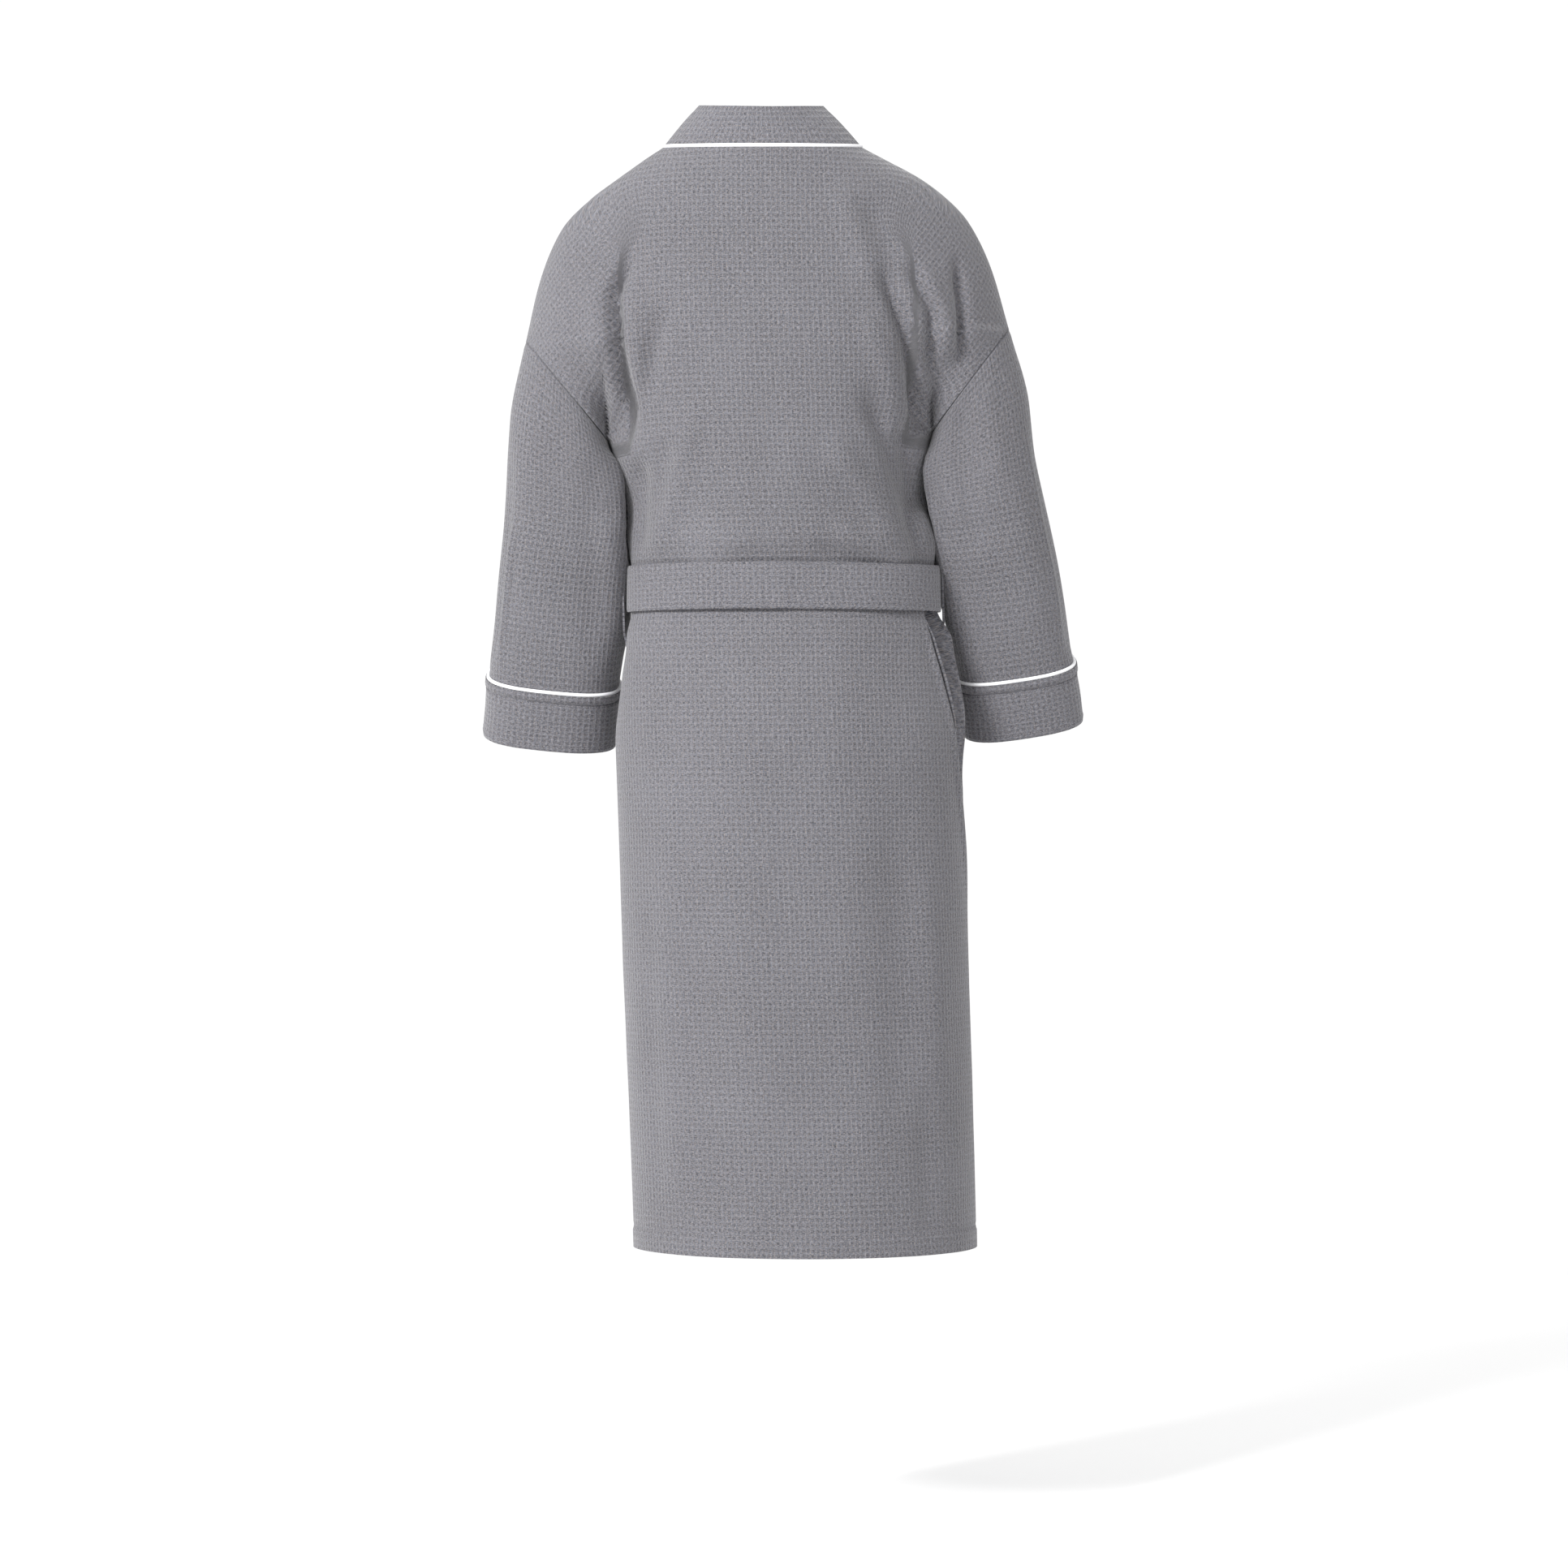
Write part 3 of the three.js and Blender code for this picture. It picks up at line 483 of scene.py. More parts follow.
# %% Places round the body
def fuller(drop):
    """Loose cloth stands out at the sides between the armpit and the belt."""
    return 0.0075 * ease(0.318, 0.350, drop) * (1 - ease(0.430, 0.478, drop))


def hip(drop):
    """The right front swings out over that hip."""
    return 0.0110 * ease(0.522, 0.560, drop) * (1 - ease(0.615, 0.720, drop))


def ring(side, turn, drop, lift=0.0):
    """A place on the body; turn is in radians from the middle of the front towards that side."""
    half = panel_half(drop)
    x = half * np.sin(turn)
    front = np.cos(turn) > 0
    depth = np.where(front, -depth_at(np.abs(x), drop, front_depth(drop)),
                     depth_at(np.abs(x), drop, back_depth(drop)))
    away = 1 - ease(0.62, 0.97, np.abs(x) / half)
    x = x + fuller(drop) * ease(0.55, 1.0, np.sin(turn))
    if np.all(np.asarray(side) < 0) and np.all(turn < math.pi / 2 + 0.6):
        x = x + hip(drop) * ease(0.75, 1.0, np.sin(turn))
    places = stack(side * x + sway(drop), depth - np.where(front, lift * away, 0), -drop)
    return levelled(places, drop)


# The right side seam sits a little behind the hip there, so the front shows past the back's edge.
seam_back = curve((0.50, 0), (0.530, 0.44), (0.62, 0.36), (0.70, 0.27), (0.80, 0.13), (0.90, 0.0),
                  (BACK_LENGTH, 0.0))


def neck_drop(turn):
    return NECK_DIP * np.cos(turn)


def columns(count):
    return np.linspace(-1, 1, count)


def rows(*stops, step=0.005):
    parts = [np.linspace(a, b, max(2, round((b - a) / step))) for a, b in zip(stops, stops[1:])]
    return np.unique(np.concatenate(parts).round(6))


# %% Folds of the back
# Each is a path of (distance from the middle, drop), a width and a height; valleys are negative.
BACK_FOLDS = [
    ([(0.143, 0.115), (0.170, 0.172), (0.166, 0.240), (0.157, 0.300), (0.156, 0.350)], 0.0075, -0.0160),
    ([(0.192, 0.150), (0.190, 0.215), (0.180, 0.285)], 0.015, 0.0050),
    ([(0.150, 0.165), (0.144, 0.240), (0.138, 0.310)], 0.010, 0.0036),
    ([(0.108, 0.180), (0.128, 0.240), (0.143, 0.310)], 0.010, -0.0050),
    ([(0.078, 0.290), (0.105, 0.382), (0.147, 0.470)], 0.015, 0.0052),
    ([(0.112, 0.330), (0.140, 0.430)], 0.012, -0.0042),
    ([(-0.080, 0.040), (-0.100, 0.100), (-0.122, 0.180)], 0.016, 0.0042),
    ([(-0.115, 0.060), (-0.134, 0.120), (-0.150, 0.190)], 0.016, -0.0050),
    ([(-0.126, 0.140), (-0.154, 0.225), (-0.166, 0.300), (-0.162, 0.350)], 0.0080, -0.0150),
    ([(-0.106, 0.190), (-0.134, 0.262), (-0.146, 0.330)], 0.013, 0.0052),
    ([(-0.156, 0.135), (-0.185, 0.200), (-0.180, 0.275)], 0.0065, -0.0100),
    ([(-0.172, 0.140), (-0.202, 0.215), (-0.198, 0.262)], 0.010, 0.0050),
    ([(-0.214, 0.130), (-0.219, 0.200), (-0.214, 0.270)], 0.0065, -0.0110),
    ([(-0.100, 0.270), (-0.134, 0.345), (-0.150, 0.410), (-0.158, 0.488)], 0.012, -0.0110),
    ([(-0.148, 0.312), (-0.157, 0.360), (-0.166, 0.430)], 0.0100, -0.0130),
    ([(0.146, 0.345), (0.156, 0.400), (0.166, 0.478)], 0.0130, -0.0110),
    ([(-0.060, 0.330), (-0.106, 0.400), (-0.128, 0.465)], 0.016, 0.0056),
    ([(-0.055, 0.432), (-0.150, 0.480)], 0.010, 0.0048),
    ([(-0.030, 0.452), (-0.120, 0.492)], 0.009, -0.0034),
    ([(0.000, 0.180), (0.010, 0.300), (-0.006, 0.400)], 0.030, -0.0030),
    ([(0.020, 0.440), (0.110, 0.486)], 0.016, 0.0020),
    ([(-0.112, 0.700), (-0.117, 0.756), (-0.110, 1.060), (-0.104, 1.140)], 0.024, -0.0048),
    ([(-0.148, 0.780), (-0.156, 0.950), (-0.150, 1.120)], 0.017, 0.0036),
    ([(-0.146, 1.030), (-0.138, 1.120), (-0.137, 1.246)], 0.013, -0.0036),
    ([(0.050, 0.620), (0.062, 0.860), (0.048, 1.180)], 0.034, 0.0030),
    ([(0.128, 0.700), (0.140, 0.960), (0.134, 1.240)], 0.022, 0.0030),
    ([(0.160, 0.820), (0.163, 1.050), (0.160, 1.240)], 0.010, -0.0018),
    ([(-0.030, 0.720), (-0.024, 0.960), (-0.030, 1.200)], 0.036, -0.0024),
]


def waist(drop):
    """Cloth that puffs a little over the belt and is drawn in under it."""
    puff = 0.0034 * np.exp(-(((drop - 0.452) / 0.016) ** 2))
    under = 0.0030 * np.exp(-(((drop - 0.552) / 0.016) ** 2))
    return puff + under - 0.0016 * ease(0.470, 0.480, drop) * (1 - ease(0.522, 0.532, drop))


def relief(x, drop, folds, seed):
    total = waist(drop) + ripple(x, drop, 0.075, 0.16, 0.0018, seed) + ripple(
        x, drop, 0.028, 0.060, 0.0006, seed + 3)
    for path, width, height in folds:
        total = total + fold(x, drop, path, width, height)
    return total


def hemmed(drop, depth=HEM_DEPTH):
    """The turned-up hem is a second layer, with a shallow groove where it is sewn."""
    turned = 0.0009 * ease(BACK_LENGTH - depth, BACK_LENGTH - depth + 0.002, drop)
    groove = 0.0009 * np.exp(-(((drop - BACK_LENGTH + depth) / 0.0016) ** 2))
    return turned - groove


# %% [markdown]
# ## How the weave turns on the shoulders
# The robe is cut flat with its arms straight out. When the arms hang, the cloth past the shoulder
# turns with them, and the spare cloth goes into the fold beside the armpit. The cutting-table places
# do the same: past that fold they are turned about the shoulder.

# %% Cutting-table places of a body panel
arm_line = curve((0.0, 0.135), (0.08, 0.146), (0.17, 0.166), (0.25, 0.165), (0.33, 0.158),
                 (0.40, 0.175))


def table_places(across, x, drop, turned=math.radians(41)):
    side = np.where(across < 0, -1.0, 1.0)
    width = mix(0.030, 0.0022, ease(0.080, 0.140, drop))
    out = ease(-width, width, np.abs(x) - arm_line(drop)) * ease(0.02, 0.10, drop)
    out = out * (1 - ease(0.335, 0.350, drop))
    pivot_across, pivot_drop = 0.150, 0.045
    u, v = np.abs(across) - pivot_across, drop - pivot_drop
    spun_u = u * np.cos(turned * out) + v * np.sin(turned * out)
    spun_v = v * np.cos(turned * out) - u * np.sin(turned * out)
    return np.stack([side * (spun_u + pivot_across), -(spun_v + pivot_drop)], axis=-1)


# %% The back, above the belt and below it
def back_grid(drops, count, inset=0.0):
    u, drop = np.meshgrid(columns(count), drops)
    turn = u * math.pi / 2
    fade = 1 - ease(0, 0.060, drop)
    drop = drop + fade * (neck_drop(turn) - NECK_DIP * 0.75)
    limit = math.pi / 2 - np.where(u < 0, seam_back(drop), 0)
    turn = u * limit
    side = np.where(turn < 0, -1.0, 1.0)
    places = ring(side, math.pi - np.abs(turn), drop)
    x = places[..., 0] - sway(drop)
    flat = table_places(arc(places), x, drop)
    seam = ease(0.965, 1, np.abs(u)) * 0.0012 * (drop > ARMHOLE_BOTTOM)
    lip = 0.0045 * ease(0.93, 1.0, -u) * ease(0.520, 0.560, drop) * (1 - ease(0.78, 0.92, drop))
    soft = ease(1.0, 0.93, np.abs(u)) * 0.75 + 0.25
    edge = 1 - ease(0.050, 0.012, drop)
    push = relief(x, drop, BACK_FOLDS, 1.7) * soft * edge + hemmed(drop) - seam + lip - inset
    middle = stack(sway(drop), 0 * drop, -drop)
    return places + outward(places, about=middle) * push[..., None], flat


START = NECK_DIP * 0.75 + 0.0012
UPPER_ROWS = rows(START, 0.16, ARMHOLE_TOP, ARMHOLE_BOTTOM, BELT_DROP, step=0.004)
upper, upper_flat = back_grid(UPPER_ROWS, 150)
lower, lower_flat = back_grid(rows(BELT_DROP, 0.60, BACK_LENGTH, step=0.0048), 120)
back_top = cloth("back_above_belt", upper, upper_flat, CLOTH, grey, about=np.zeros(3))
back_skirt = cloth("back_skirt", lower, lower_flat, CLOTH, grey,
                   about=np.array([-WAIST_SWAY, 0, -0.8]))
print("back:", len(back_top.data.polygons), "and", len(back_skirt.data.polygons), "faces")

# %% [markdown]
# ## The fronts
# Two fronts lap over each other, the left one outside. Each runs from its side seam to the seam of
# the collar band. Below the belt the left one's lower corner can swing open, and the cloth bends
# there, so that piece blends between two bodies across the line that the corner folds on.

# %% The seam of the collar band, and the folds of the fronts
SEAM_X = BAND_WIDTH - FRONT_OVERLAP
front_seam = curve((0, NECK_HALF - 0.001), (0.030, NECK_HALF - 0.004), (0.095, NECK_HALF - 0.018),
                   (0.220, NECK_HALF / 2), (0.350, 0.005), (BELT_TOP, SEAM_X + 0.010),
                   (BELT_BOTTOM, SEAM_X), (BACK_LENGTH, SEAM_X))
FRONT_FOLDS = [
    ([(0.144, 0.080), (0.166, 0.172), (0.165, 0.250), (0.157, 0.330)], 0.0090, -0.0085),
    ([(0.178, 0.150), (0.182, 0.210), (0.174, 0.280)], 0.014, 0.0040),
    ([(0.120, 0.180), (0.128, 0.260), (0.140, 0.340)], 0.012, -0.0040),
    ([(0.060, 0.300), (0.095, 0.400), (0.120, 0.470)], 0.016, 0.0034),
    ([(0.020, 0.380), (0.070, 0.480)], 0.013, -0.0026),
    ([(0.150, 0.240), (0.150, 0.340), (0.146, 0.450)], 0.012, 0.0026),
    ([(0.075, 0.560), (0.095, 0.800), (0.090, 1.200)], 0.026, 0.0030),
    ([(0.020, 0.560), (0.030, 0.820), (0.020, 1.220)], 0.028, -0.0024),
    ([(0.140, 0.900), (0.150, 1.080), (0.145, 1.240)], 0.018, -0.0026),
]


# %% One front, from its side seam to the band's seam
def front_grid(side, drops, count, lift):
    v, drop = np.meshgrid(np.linspace(0, 1, count), drops)
    half = panel_half(drop)
    outer = math.pi / 2 + (seam_back(drop) if side < 0 else 0 * drop)
    inner = np.arcsin(np.clip((front_seam(drop) + 0.0012) / half, -1, 1))
    turn = outer + (inner - outer) * v
    places = ring(side, turn, drop, lift)
    x = half * np.sin(turn)
    length = arc(places, closed=True)
    flat = table_places(front_seam(drop) + length[:, -1:] - length, x, drop)
    behind = ease(0.02, 0.12, turn - math.pi / 2) * ease(0, 0.06, outer - turn)
    seam = ease(0.02, 0, v) * 0.0012 + behind * 0.0240
    soft = (ease(0, 0.05, v) * 0.8 + 0.2) * ease(1.0, 0.90, v)
    flatten = 1 - 0.8 * np.exp(-(((drop - BELT_DROP) / 0.030) ** 2))
    push = relief(x, drop, FRONT_FOLDS, 4.2 if side > 0 else 7.9) * soft * flatten * 0.8
    middle = stack(sway(drop), 0 * drop, -drop)
    push = (push + hemmed(drop) - seam)[..., None]
    return places + outward(places, about=middle) * push, flat


FRONT_ROWS = {
    "front_above_belt": rows(0.004, 0.06, ARMHOLE_TOP, ARMHOLE_BOTTOM, BELT_DROP, step=0.005),
    "front_skirt": rows(BELT_DROP, 0.60, BACK_LENGTH, step=0.006),
}
front_pieces = {}
for side, name, lift in ((1, "left", LAYER), (-1, "right", 0.0)):
    for part, drops in FRONT_ROWS.items():
        places, flat = front_grid(side, drops, 70, lift)
        about = np.array([-WAIST_SWAY if "skirt" in part else 0, 0.0, 0.0])
        about = stack(about[0], about[1], places[..., 2])
        front_pieces[name, part] = cloth(f"{name}_{part}", places, flat, CLOTH, grey, about=about)
print("fronts:", [piece.name for piece in front_pieces.values()])

# %% [markdown]
# ## The collar band
# One doubled strip goes round the neck and down both edges. It stands up behind the neck, rolls over
# at the sides and lies flat down the front. Its weave is turned a quarter, because it is cut across.

# %% Across the band at each place along it
def neck_seam(turn):
    drop = neck_drop(turn)
    x = over_arms(drop) * np.sin(turn)
    return np.array([x, float(depth_at(abs(x), drop, back_depth(drop))), -drop])


def on_front(x, drop, lift):
    half = float(panel_half(drop))
    away = 1 - float(ease(0.62, 0.97, abs(x) / half))
    depth = float(depth_at(abs(x), np.float64(drop), front_depth(np.float64(drop))))
    return np.array([x + float(sway(drop)), -depth - lift * away, -drop])


def band_across(drop, turn, lift):
    """The seam and the free edge of the band: by a turn round the neck, or by a drop down the front."""
    if drop is None:
        seam = neck_seam(turn)
        s, c = math.sin(turn), math.cos(turn)
        rise = 0.046 * c * c + 0.047 * s * s
        return seam, seam + np.array([-0.041 * s, -(0.017 * c + 0.004 * s), rise])
    start = float(ease(0, 0.006, drop))
    seam_x = float(over_arms(0)) * (1 - start) + float(front_seam(drop)) * start
    seam = on_front(min(seam_x, float(panel_half(drop))), drop, lift)
    standing = seam + np.array([-0.041, -0.004, 0.047])
    tilt = max(0.0, drop - 0.016 * (1 - float(ease(0.350, BELT_BOTTOM, drop))))
    reach = mix(drop, tilt, float(ease(0.060, 0.130, drop)))
    lying = on_front(float(front_seam(drop)) - BAND_WIDTH + 0.002, reach, lift)
    return seam, mix(standing, lying, float(ease(0.015, 0.110, drop)))


def band_row(side, drop, turn, lift, count=9, room=0.0012):
    seam, free = band_across(drop, turn, lift)
    width = np.linalg.norm(free - seam)
    row = []
    for u in np.linspace(room / width, 1, count):
        p = mix(seam, free, u)
        if drop is not None:
            level = max(0.0, -p[2])
            chest = on_front(p[0] - float(sway(level)), level, lift)[1]
            p[1] = mix(p[1], chest, float(ease(0.045, 0.120, drop)))
        if side < 0:
            p[0] = 2 * float(sway(-p[2])) - p[0]
        row.append(levelled(p, -p[2]))
    return row


def band_grid(spans, count=9):
    grid = np.array([band_row(side, drop, turn, LAYER * (side > 0), count) for side, drop, turn in spans])
    along = np.r_[0, np.cumsum(np.linalg.norm(np.diff(grid.mean(axis=1), axis=0), axis=1))]
    flat = np.array([[(k * BAND_WIDTH / (count - 1), a) for k in range(count)] for a in along])
    return grid, flat


NECK_TURNS = np.linspace(0, math.pi / 2, 40)
UPPER_DROPS = rows(0.004, 0.130, BELT_DROP, step=0.005)
LOWER_DROPS = rows(BELT_DROP, BACK_LENGTH, step=0.008)
upper_spans = ([(-1, d, None) for d in UPPER_DROPS[::-1]] + [(-1, None, t) for t in NECK_TURNS[:0:-1]]
               + [(1, None, t) for t in NECK_TURNS] + [(1, d, None) for d in UPPER_DROPS])


# %% The band above the belt, and its two lower lengths
def band_normals(grid):
    """Out of the neck and out of the chest: the side away from the body's own middle."""
    middle = stack(sway(-grid[..., 2]), 0 * grid[..., 0], grid[..., 2] - 0.03)
    return outward(grid, about=middle)


def band_piece(name, spans):
    grid, flat = band_grid(spans)
    share = np.linspace(0, 1, grid.shape[1])
    for _ in range(24):
        soft = grid.copy()
        soft[1:-1] = (grid[:-2] + 2 * grid[1:-1] + grid[2:]) / 4
        grid = mix(grid, soft, (share**1.5)[None, :, None])
    n = band_normals(grid)
    crown = 0.0007 * np.sin(np.pi * share)[None, :, None]
    stitched = -0.0006 * np.exp(-(((share - 0.90) / 0.03) ** 2))[None, :, None]
    fade = ripple(grid[..., 0] + grid[..., 1], grid[..., 2], 0.05, 0.08, 0.0012, 2.5)[..., None]
    grid = grid + n * (0.0008 + crown + stitched + fade * share[None, :, None])
    middle = stack(sway(-grid[..., 2]), 0 * grid[..., 0], grid[..., 2] - 0.03)
    return cloth(name, grid, flat, DOUBLE, band_grey, about=middle)


collar = band_piece("collar_and_lapels", upper_spans)
left_band = band_piece("left_front_band_skirt", [(1, d, None) for d in LOWER_DROPS])
right_band = band_piece("right_front_band_skirt", [(-1, d, None) for d in LOWER_DROPS])
print("collar stands to", round(max(v.co.z for v in collar.data.vertices), 4), "m")

# %% [markdown]
# ## Piping
# White piping is a folded strip over a thin cord, caught in the seam. A round tube along the seam
# shows what is seen of it. The tube carries its frame from ring to ring, so it never twists.

# %% A tube along a path
def tube(name, path, radius, material, closed=False, sides=10):
    path = np.array(path, float)
    ahead = np.roll(path, -1, axis=0) - np.roll(path, 1, axis=0)
    if not closed:
        ahead[0], ahead[-1] = path[1] - path[0], path[-1] - path[-2]
    ahead /= np.linalg.norm(ahead, axis=1)[:, None]
    side = np.cross(ahead[0], (0.31, 0.22, 0.93))
    rings = []
    for point, forward in zip(path, ahead):
        side = side - forward * side.dot(forward)
        side /= np.linalg.norm(side)
        up = np.cross(forward, side)
        turns = np.linspace(0, 2 * math.pi, sides, endpoint=False)
        rings.append([point + radius * (math.cos(t) * side + math.sin(t) * up) for t in turns])
    count = len(rings)
    spans = count if closed else count - 1
    faces = [[r * sides + s, r * sides + (s + 1) % sides, (r + 1) % count * sides + (s + 1) % sides,
              (r + 1) % count * sides + s] for r in range(spans) for s in range(sides)]
    if not closed:
        faces += [list(range(sides))[::-1], [(count - 1) * sides + s for s in range(sides)]]
    mesh = bpy.data.meshes.new(name)
    mesh.from_pydata([tuple(p) for ring_ in rings for p in ring_], [], faces)
    made = linked(name, mesh)
    mesh.materials.append(material)
    tidy = bmesh.new()
    tidy.from_mesh(mesh)
    bmesh.ops.recalc_face_normals(tidy, faces=tidy.faces)
    tidy.to_mesh(mesh)
    tidy.free()
    finished(made)
    return made


def seam_path(spans, proud=0.0006):
    grid, flat = band_grid(spans)
    n = band_normals(grid)
    seams = []
    for (side, drop, turn), normal in zip(spans, n[:, 0]):
        seam, free = band_across(drop, turn, LAYER * (side > 0))
        if side < 0:
            seam[0] = 2 * float(sway(-seam[2])) - seam[0]
        seams.append(levelled(seam, -seam[2]) + normal * proud)
    return seams


collar_cord = tube("collar_white_piping", seam_path(upper_spans), PIPING, white)
left_cord = tube("left_front_white_piping", seam_path([(1, d, None) for d in LOWER_DROPS]), PIPING, white)
right_cord = tube("right_front_white_piping", seam_path([(-1, d, None) for d in LOWER_DROPS]),
                  PIPING, white)
print("piping:", collar_cord.name, left_cord.name, right_cord.name)

# %% [markdown]
# ## Sleeves and cuffs
# A sleeve is a tube sewn to the slanting armhole. Its centre line leans forward as an arm does, and
# half axes across and deep give its section at each station. The cuff is a doubled band turned back
# over its end, with a ridge where its inner layer stops.

# %% The sleeve's stations
LEAN_OUT, LEAN_FORWARD = 0.125, 0.29


def unit(v):
    v = np.array(v, float)
    return v / np.linalg.norm(v)


down_arm = unit((LEAN_OUT, -LEAN_FORWARD, -1))
level_arm = unit((1, 0, LEAN_OUT))
armhole_middle = np.array([(SHOULDER_HALF + ARMPIT_HALF) / 2, 0, -(ARMHOLE_TOP + ARMHOLE_BOTTOM) / 2])
elbow = np.array([armhole_middle[0] + 0.009, -0.010, armhole_middle[2] - 0.36 * SLEEVE_LENGTH])
cuff_seam = elbow + 0.62 * SLEEVE_LENGTH * down_arm
stations = [
    (0, armhole_middle, ((SHOULDER_HALF - ARMPIT_HALF) / 2, 0, (ARMHOLE_BOTTOM - ARMHOLE_TOP) / 2),
     (0, ARM_DEPTH, 0)),
    (0.18, (armhole_middle + elbow) / 2, (0.061, 0, 0.034), (0, 0.062, -0.003)),
    (0.40, elbow, (0.064, 0, 0.014), (0, 0.061, -0.009)),
    (0.70, (elbow + cuff_seam) / 2, (0.0675, 0, 0.008), (0, 0.059, -0.015)),
    (1, cuff_seam, SLEEVE_HALF * level_arm, -SLEEVE_DEPTH * unit(np.cross(down_arm, level_arm)))]


def read_line(column):
    lines = [curve(*[(station[0], station[column][axis]) for station in stations]) for axis in range(3)]
    return lambda t: np.stack([line(t) for line in lines], axis=-1)


centre_line, across_line, deep_line = read_line(1), read_line(2), read_line(3)


def sleeve_places(side, turn, t, off=0.0):
    """turn is 0 on the outer side and a quarter at the back; t past 1 runs on into the cuff."""
    share = np.minimum(1, t)
    centre = centre_line(share) + np.maximum(0, t - 1)[..., None] * SLEEVE_LENGTH * down_arm
    across, deep = across_line(share), deep_line(share)
    give = sway(-centre[..., 2]) / 4 * (1 if side > 0 else 2.5) * ease(0, 0.4, t)
    wide = np.linalg.norm(across, axis=-1)
    spare = (0.0018 if side > 0 else 0.0045) * ease(0.2, 0.7, t)
    across = across * ((wide + off + spare - side * give) / wide)[..., None]
    thick = np.linalg.norm(deep, axis=-1)
    deep = deep * ((thick + off) / thick)[..., None]
    c, s = np.cos(turn * 2 * math.pi), np.sin(turn * 2 * math.pi)
    power = mix(ARMHOLE_POWER, 0.74, ease(0.02, 0.30, t))
    c, s = np.sign(c) * np.abs(c) ** power, np.sign(s) * np.abs(s) ** power
    places = centre + across * c[..., None] + deep * s[..., None]
    x, y, drop = places[..., 0], places[..., 1], -places[..., 2]
    x = x - 0.0090 * ease(0.1, 0.9, -c) * ease(0.05, 0.25, t) * (1 - ease(0.72, 1.0, t))
    x = side * x + give - 0.0045 * ease(0.2, 0.8, t)
    depth = np.where(y > 0, back_depth(drop), front_depth(drop) + LAYER)
    body = panel_half(np.maximum(drop, ARMHOLE_BOTTOM)) * bow(np.clip(y / depth, -1, 1)) + fuller(drop)
    reach = np.where(drop > ARMHOLE_BOTTOM, body + 0.0022, 0)
    x = sway(drop) + side * np.maximum(side * (x - sway(drop)), reach)
    return stack(x, y, places[..., 2])


# %% Folds of the sleeves: paths of (turn round the sleeve, share of its length)
LEFT_SLEEVE_FOLDS = [
    ([(0.110, 0.45), (0.108, 0.70), (0.104, 0.97)], 0.014, 0.0040),
    ([(0.075, 0.20), (0.080, 0.98)], 0.030, -0.0022),
    ([(0.330, 0.10), (0.300, 0.45), (0.320, 0.95)], 0.035, -0.0030),
    ([(0.420, 0.05), (0.390, 0.50)], 0.030, 0.0034),
    ([(0.180, 0.34), (0.300, 0.42), (0.440, 0.36)], 0.045, -0.0024),
    ([(0.230, 0.10), (0.220, 0.40)], 0.035, -0.0018),
    ([(0.640, 0.30), (0.720, 0.38), (0.840, 0.33)], 0.040, -0.0040),
    ([(0.620, 0.42), (0.720, 0.49), (0.860, 0.45)], 0.040, 0.0034),
]
RIGHT_SLEEVE_FOLDS = [
    ([(0.300, 0.00), (0.270, 0.25), (0.290, 0.60)], 0.026, -0.0044),
    ([(0.230, 0.02), (0.215, 0.40)], 0.028, 0.0030),
    ([(0.090, 0.20), (0.100, 0.98)], 0.026, 0.0026),
    ([(0.050, 0.25), (0.055, 0.98)], 0.026, -0.0020),
    ([(0.390, 0.20), (0.350, 0.60), (0.370, 0.97)], 0.032, -0.0030),
    ([(0.170, 0.46), (0.300, 0.54), (0.430, 0.48)], 0.045, -0.0022),
    ([(0.640, 0.30), (0.720, 0.38), (0.840, 0.33)], 0.040, -0.0040),
    ([(0.620, 0.42), (0.720, 0.49), (0.860, 0.45)], 0.040, 0.0034),
]


def round_grid(count, ts):
    turn, t = np.meshgrid(np.linspace(0, 1, count, endpoint=False), ts)
    return turn, t


def round_flat(places, ts):
    """Cutting-table places of a sleeve or a cuff."""
    girth = girth_of(places)
    return np.stack([girth, np.broadcast_to(-np.array(ts)[:, None] * SLEEVE_LENGTH, girth.shape)], axis=-1)


def sleeve(side, name, folds):
    ts = np.linspace(-0.010, 1.004, 84)
    turn, t = round_grid(120, ts)
    places = sleeve_places(side, turn, t)
    n = outward(places, closed=True)
    push = ripple(turn * 0.4, t * 0.34, 0.06, 0.09, 0.0022, 5.1 * side)
    for path, width, height in folds:
        push = push + fold(turn, t, path, width, height)
    push = push * ease(0.0, 0.10, t) * ease(1.0, 0.93, t)
    tuck = -0.0030 * ease(0.004, -0.003, t) - 0.0008 * np.exp(-(((t - 0.006) / 0.005) ** 2))
    places = places + n * (push + tuck)[..., None]
    return cloth(f"{name}_sleeve_cloth", places, round_flat(places, ts), CLOTH, grey, closed=True)


def cuff(side, name):
    ts = 1 + np.linspace(0.002, CUFF_HEIGHT, 36) / SLEEVE_LENGTH
    turn, t = round_grid(110, ts)
    places = sleeve_places(side, turn, t, 0.0025)
    n = outward(places, closed=True)
    down = (t - 1) * SLEEVE_LENGTH
    under = ease(0.0115, 0.0100, down) * 0.0017
    groove = 0.0013 * np.exp(-(((down - 0.0110) / 0.0012) ** 2))
    wave = ripple(turn * 0.4, down, 0.05, 0.05, 0.0016, 9.3 * side) * ease(0.006, 0.045, down)
    lip = -0.0008 * ease(CUFF_HEIGHT - 0.004, CUFF_HEIGHT, down)
    places = places + n * (under - groove + wave + lip)[..., None]
    return cloth(f"{name}_cuff_band", places, round_flat(places, ts), DOUBLE, band_grey, closed=True)


def cuff_cord(side, name):
    turn, t = round_grid(90, np.array([1.0]))
    path = sleeve_places(side, turn, t, 0.0010)[0]
    return tube(f"{name}_cuff_white_piping", path, PIPING, white, closed=True)


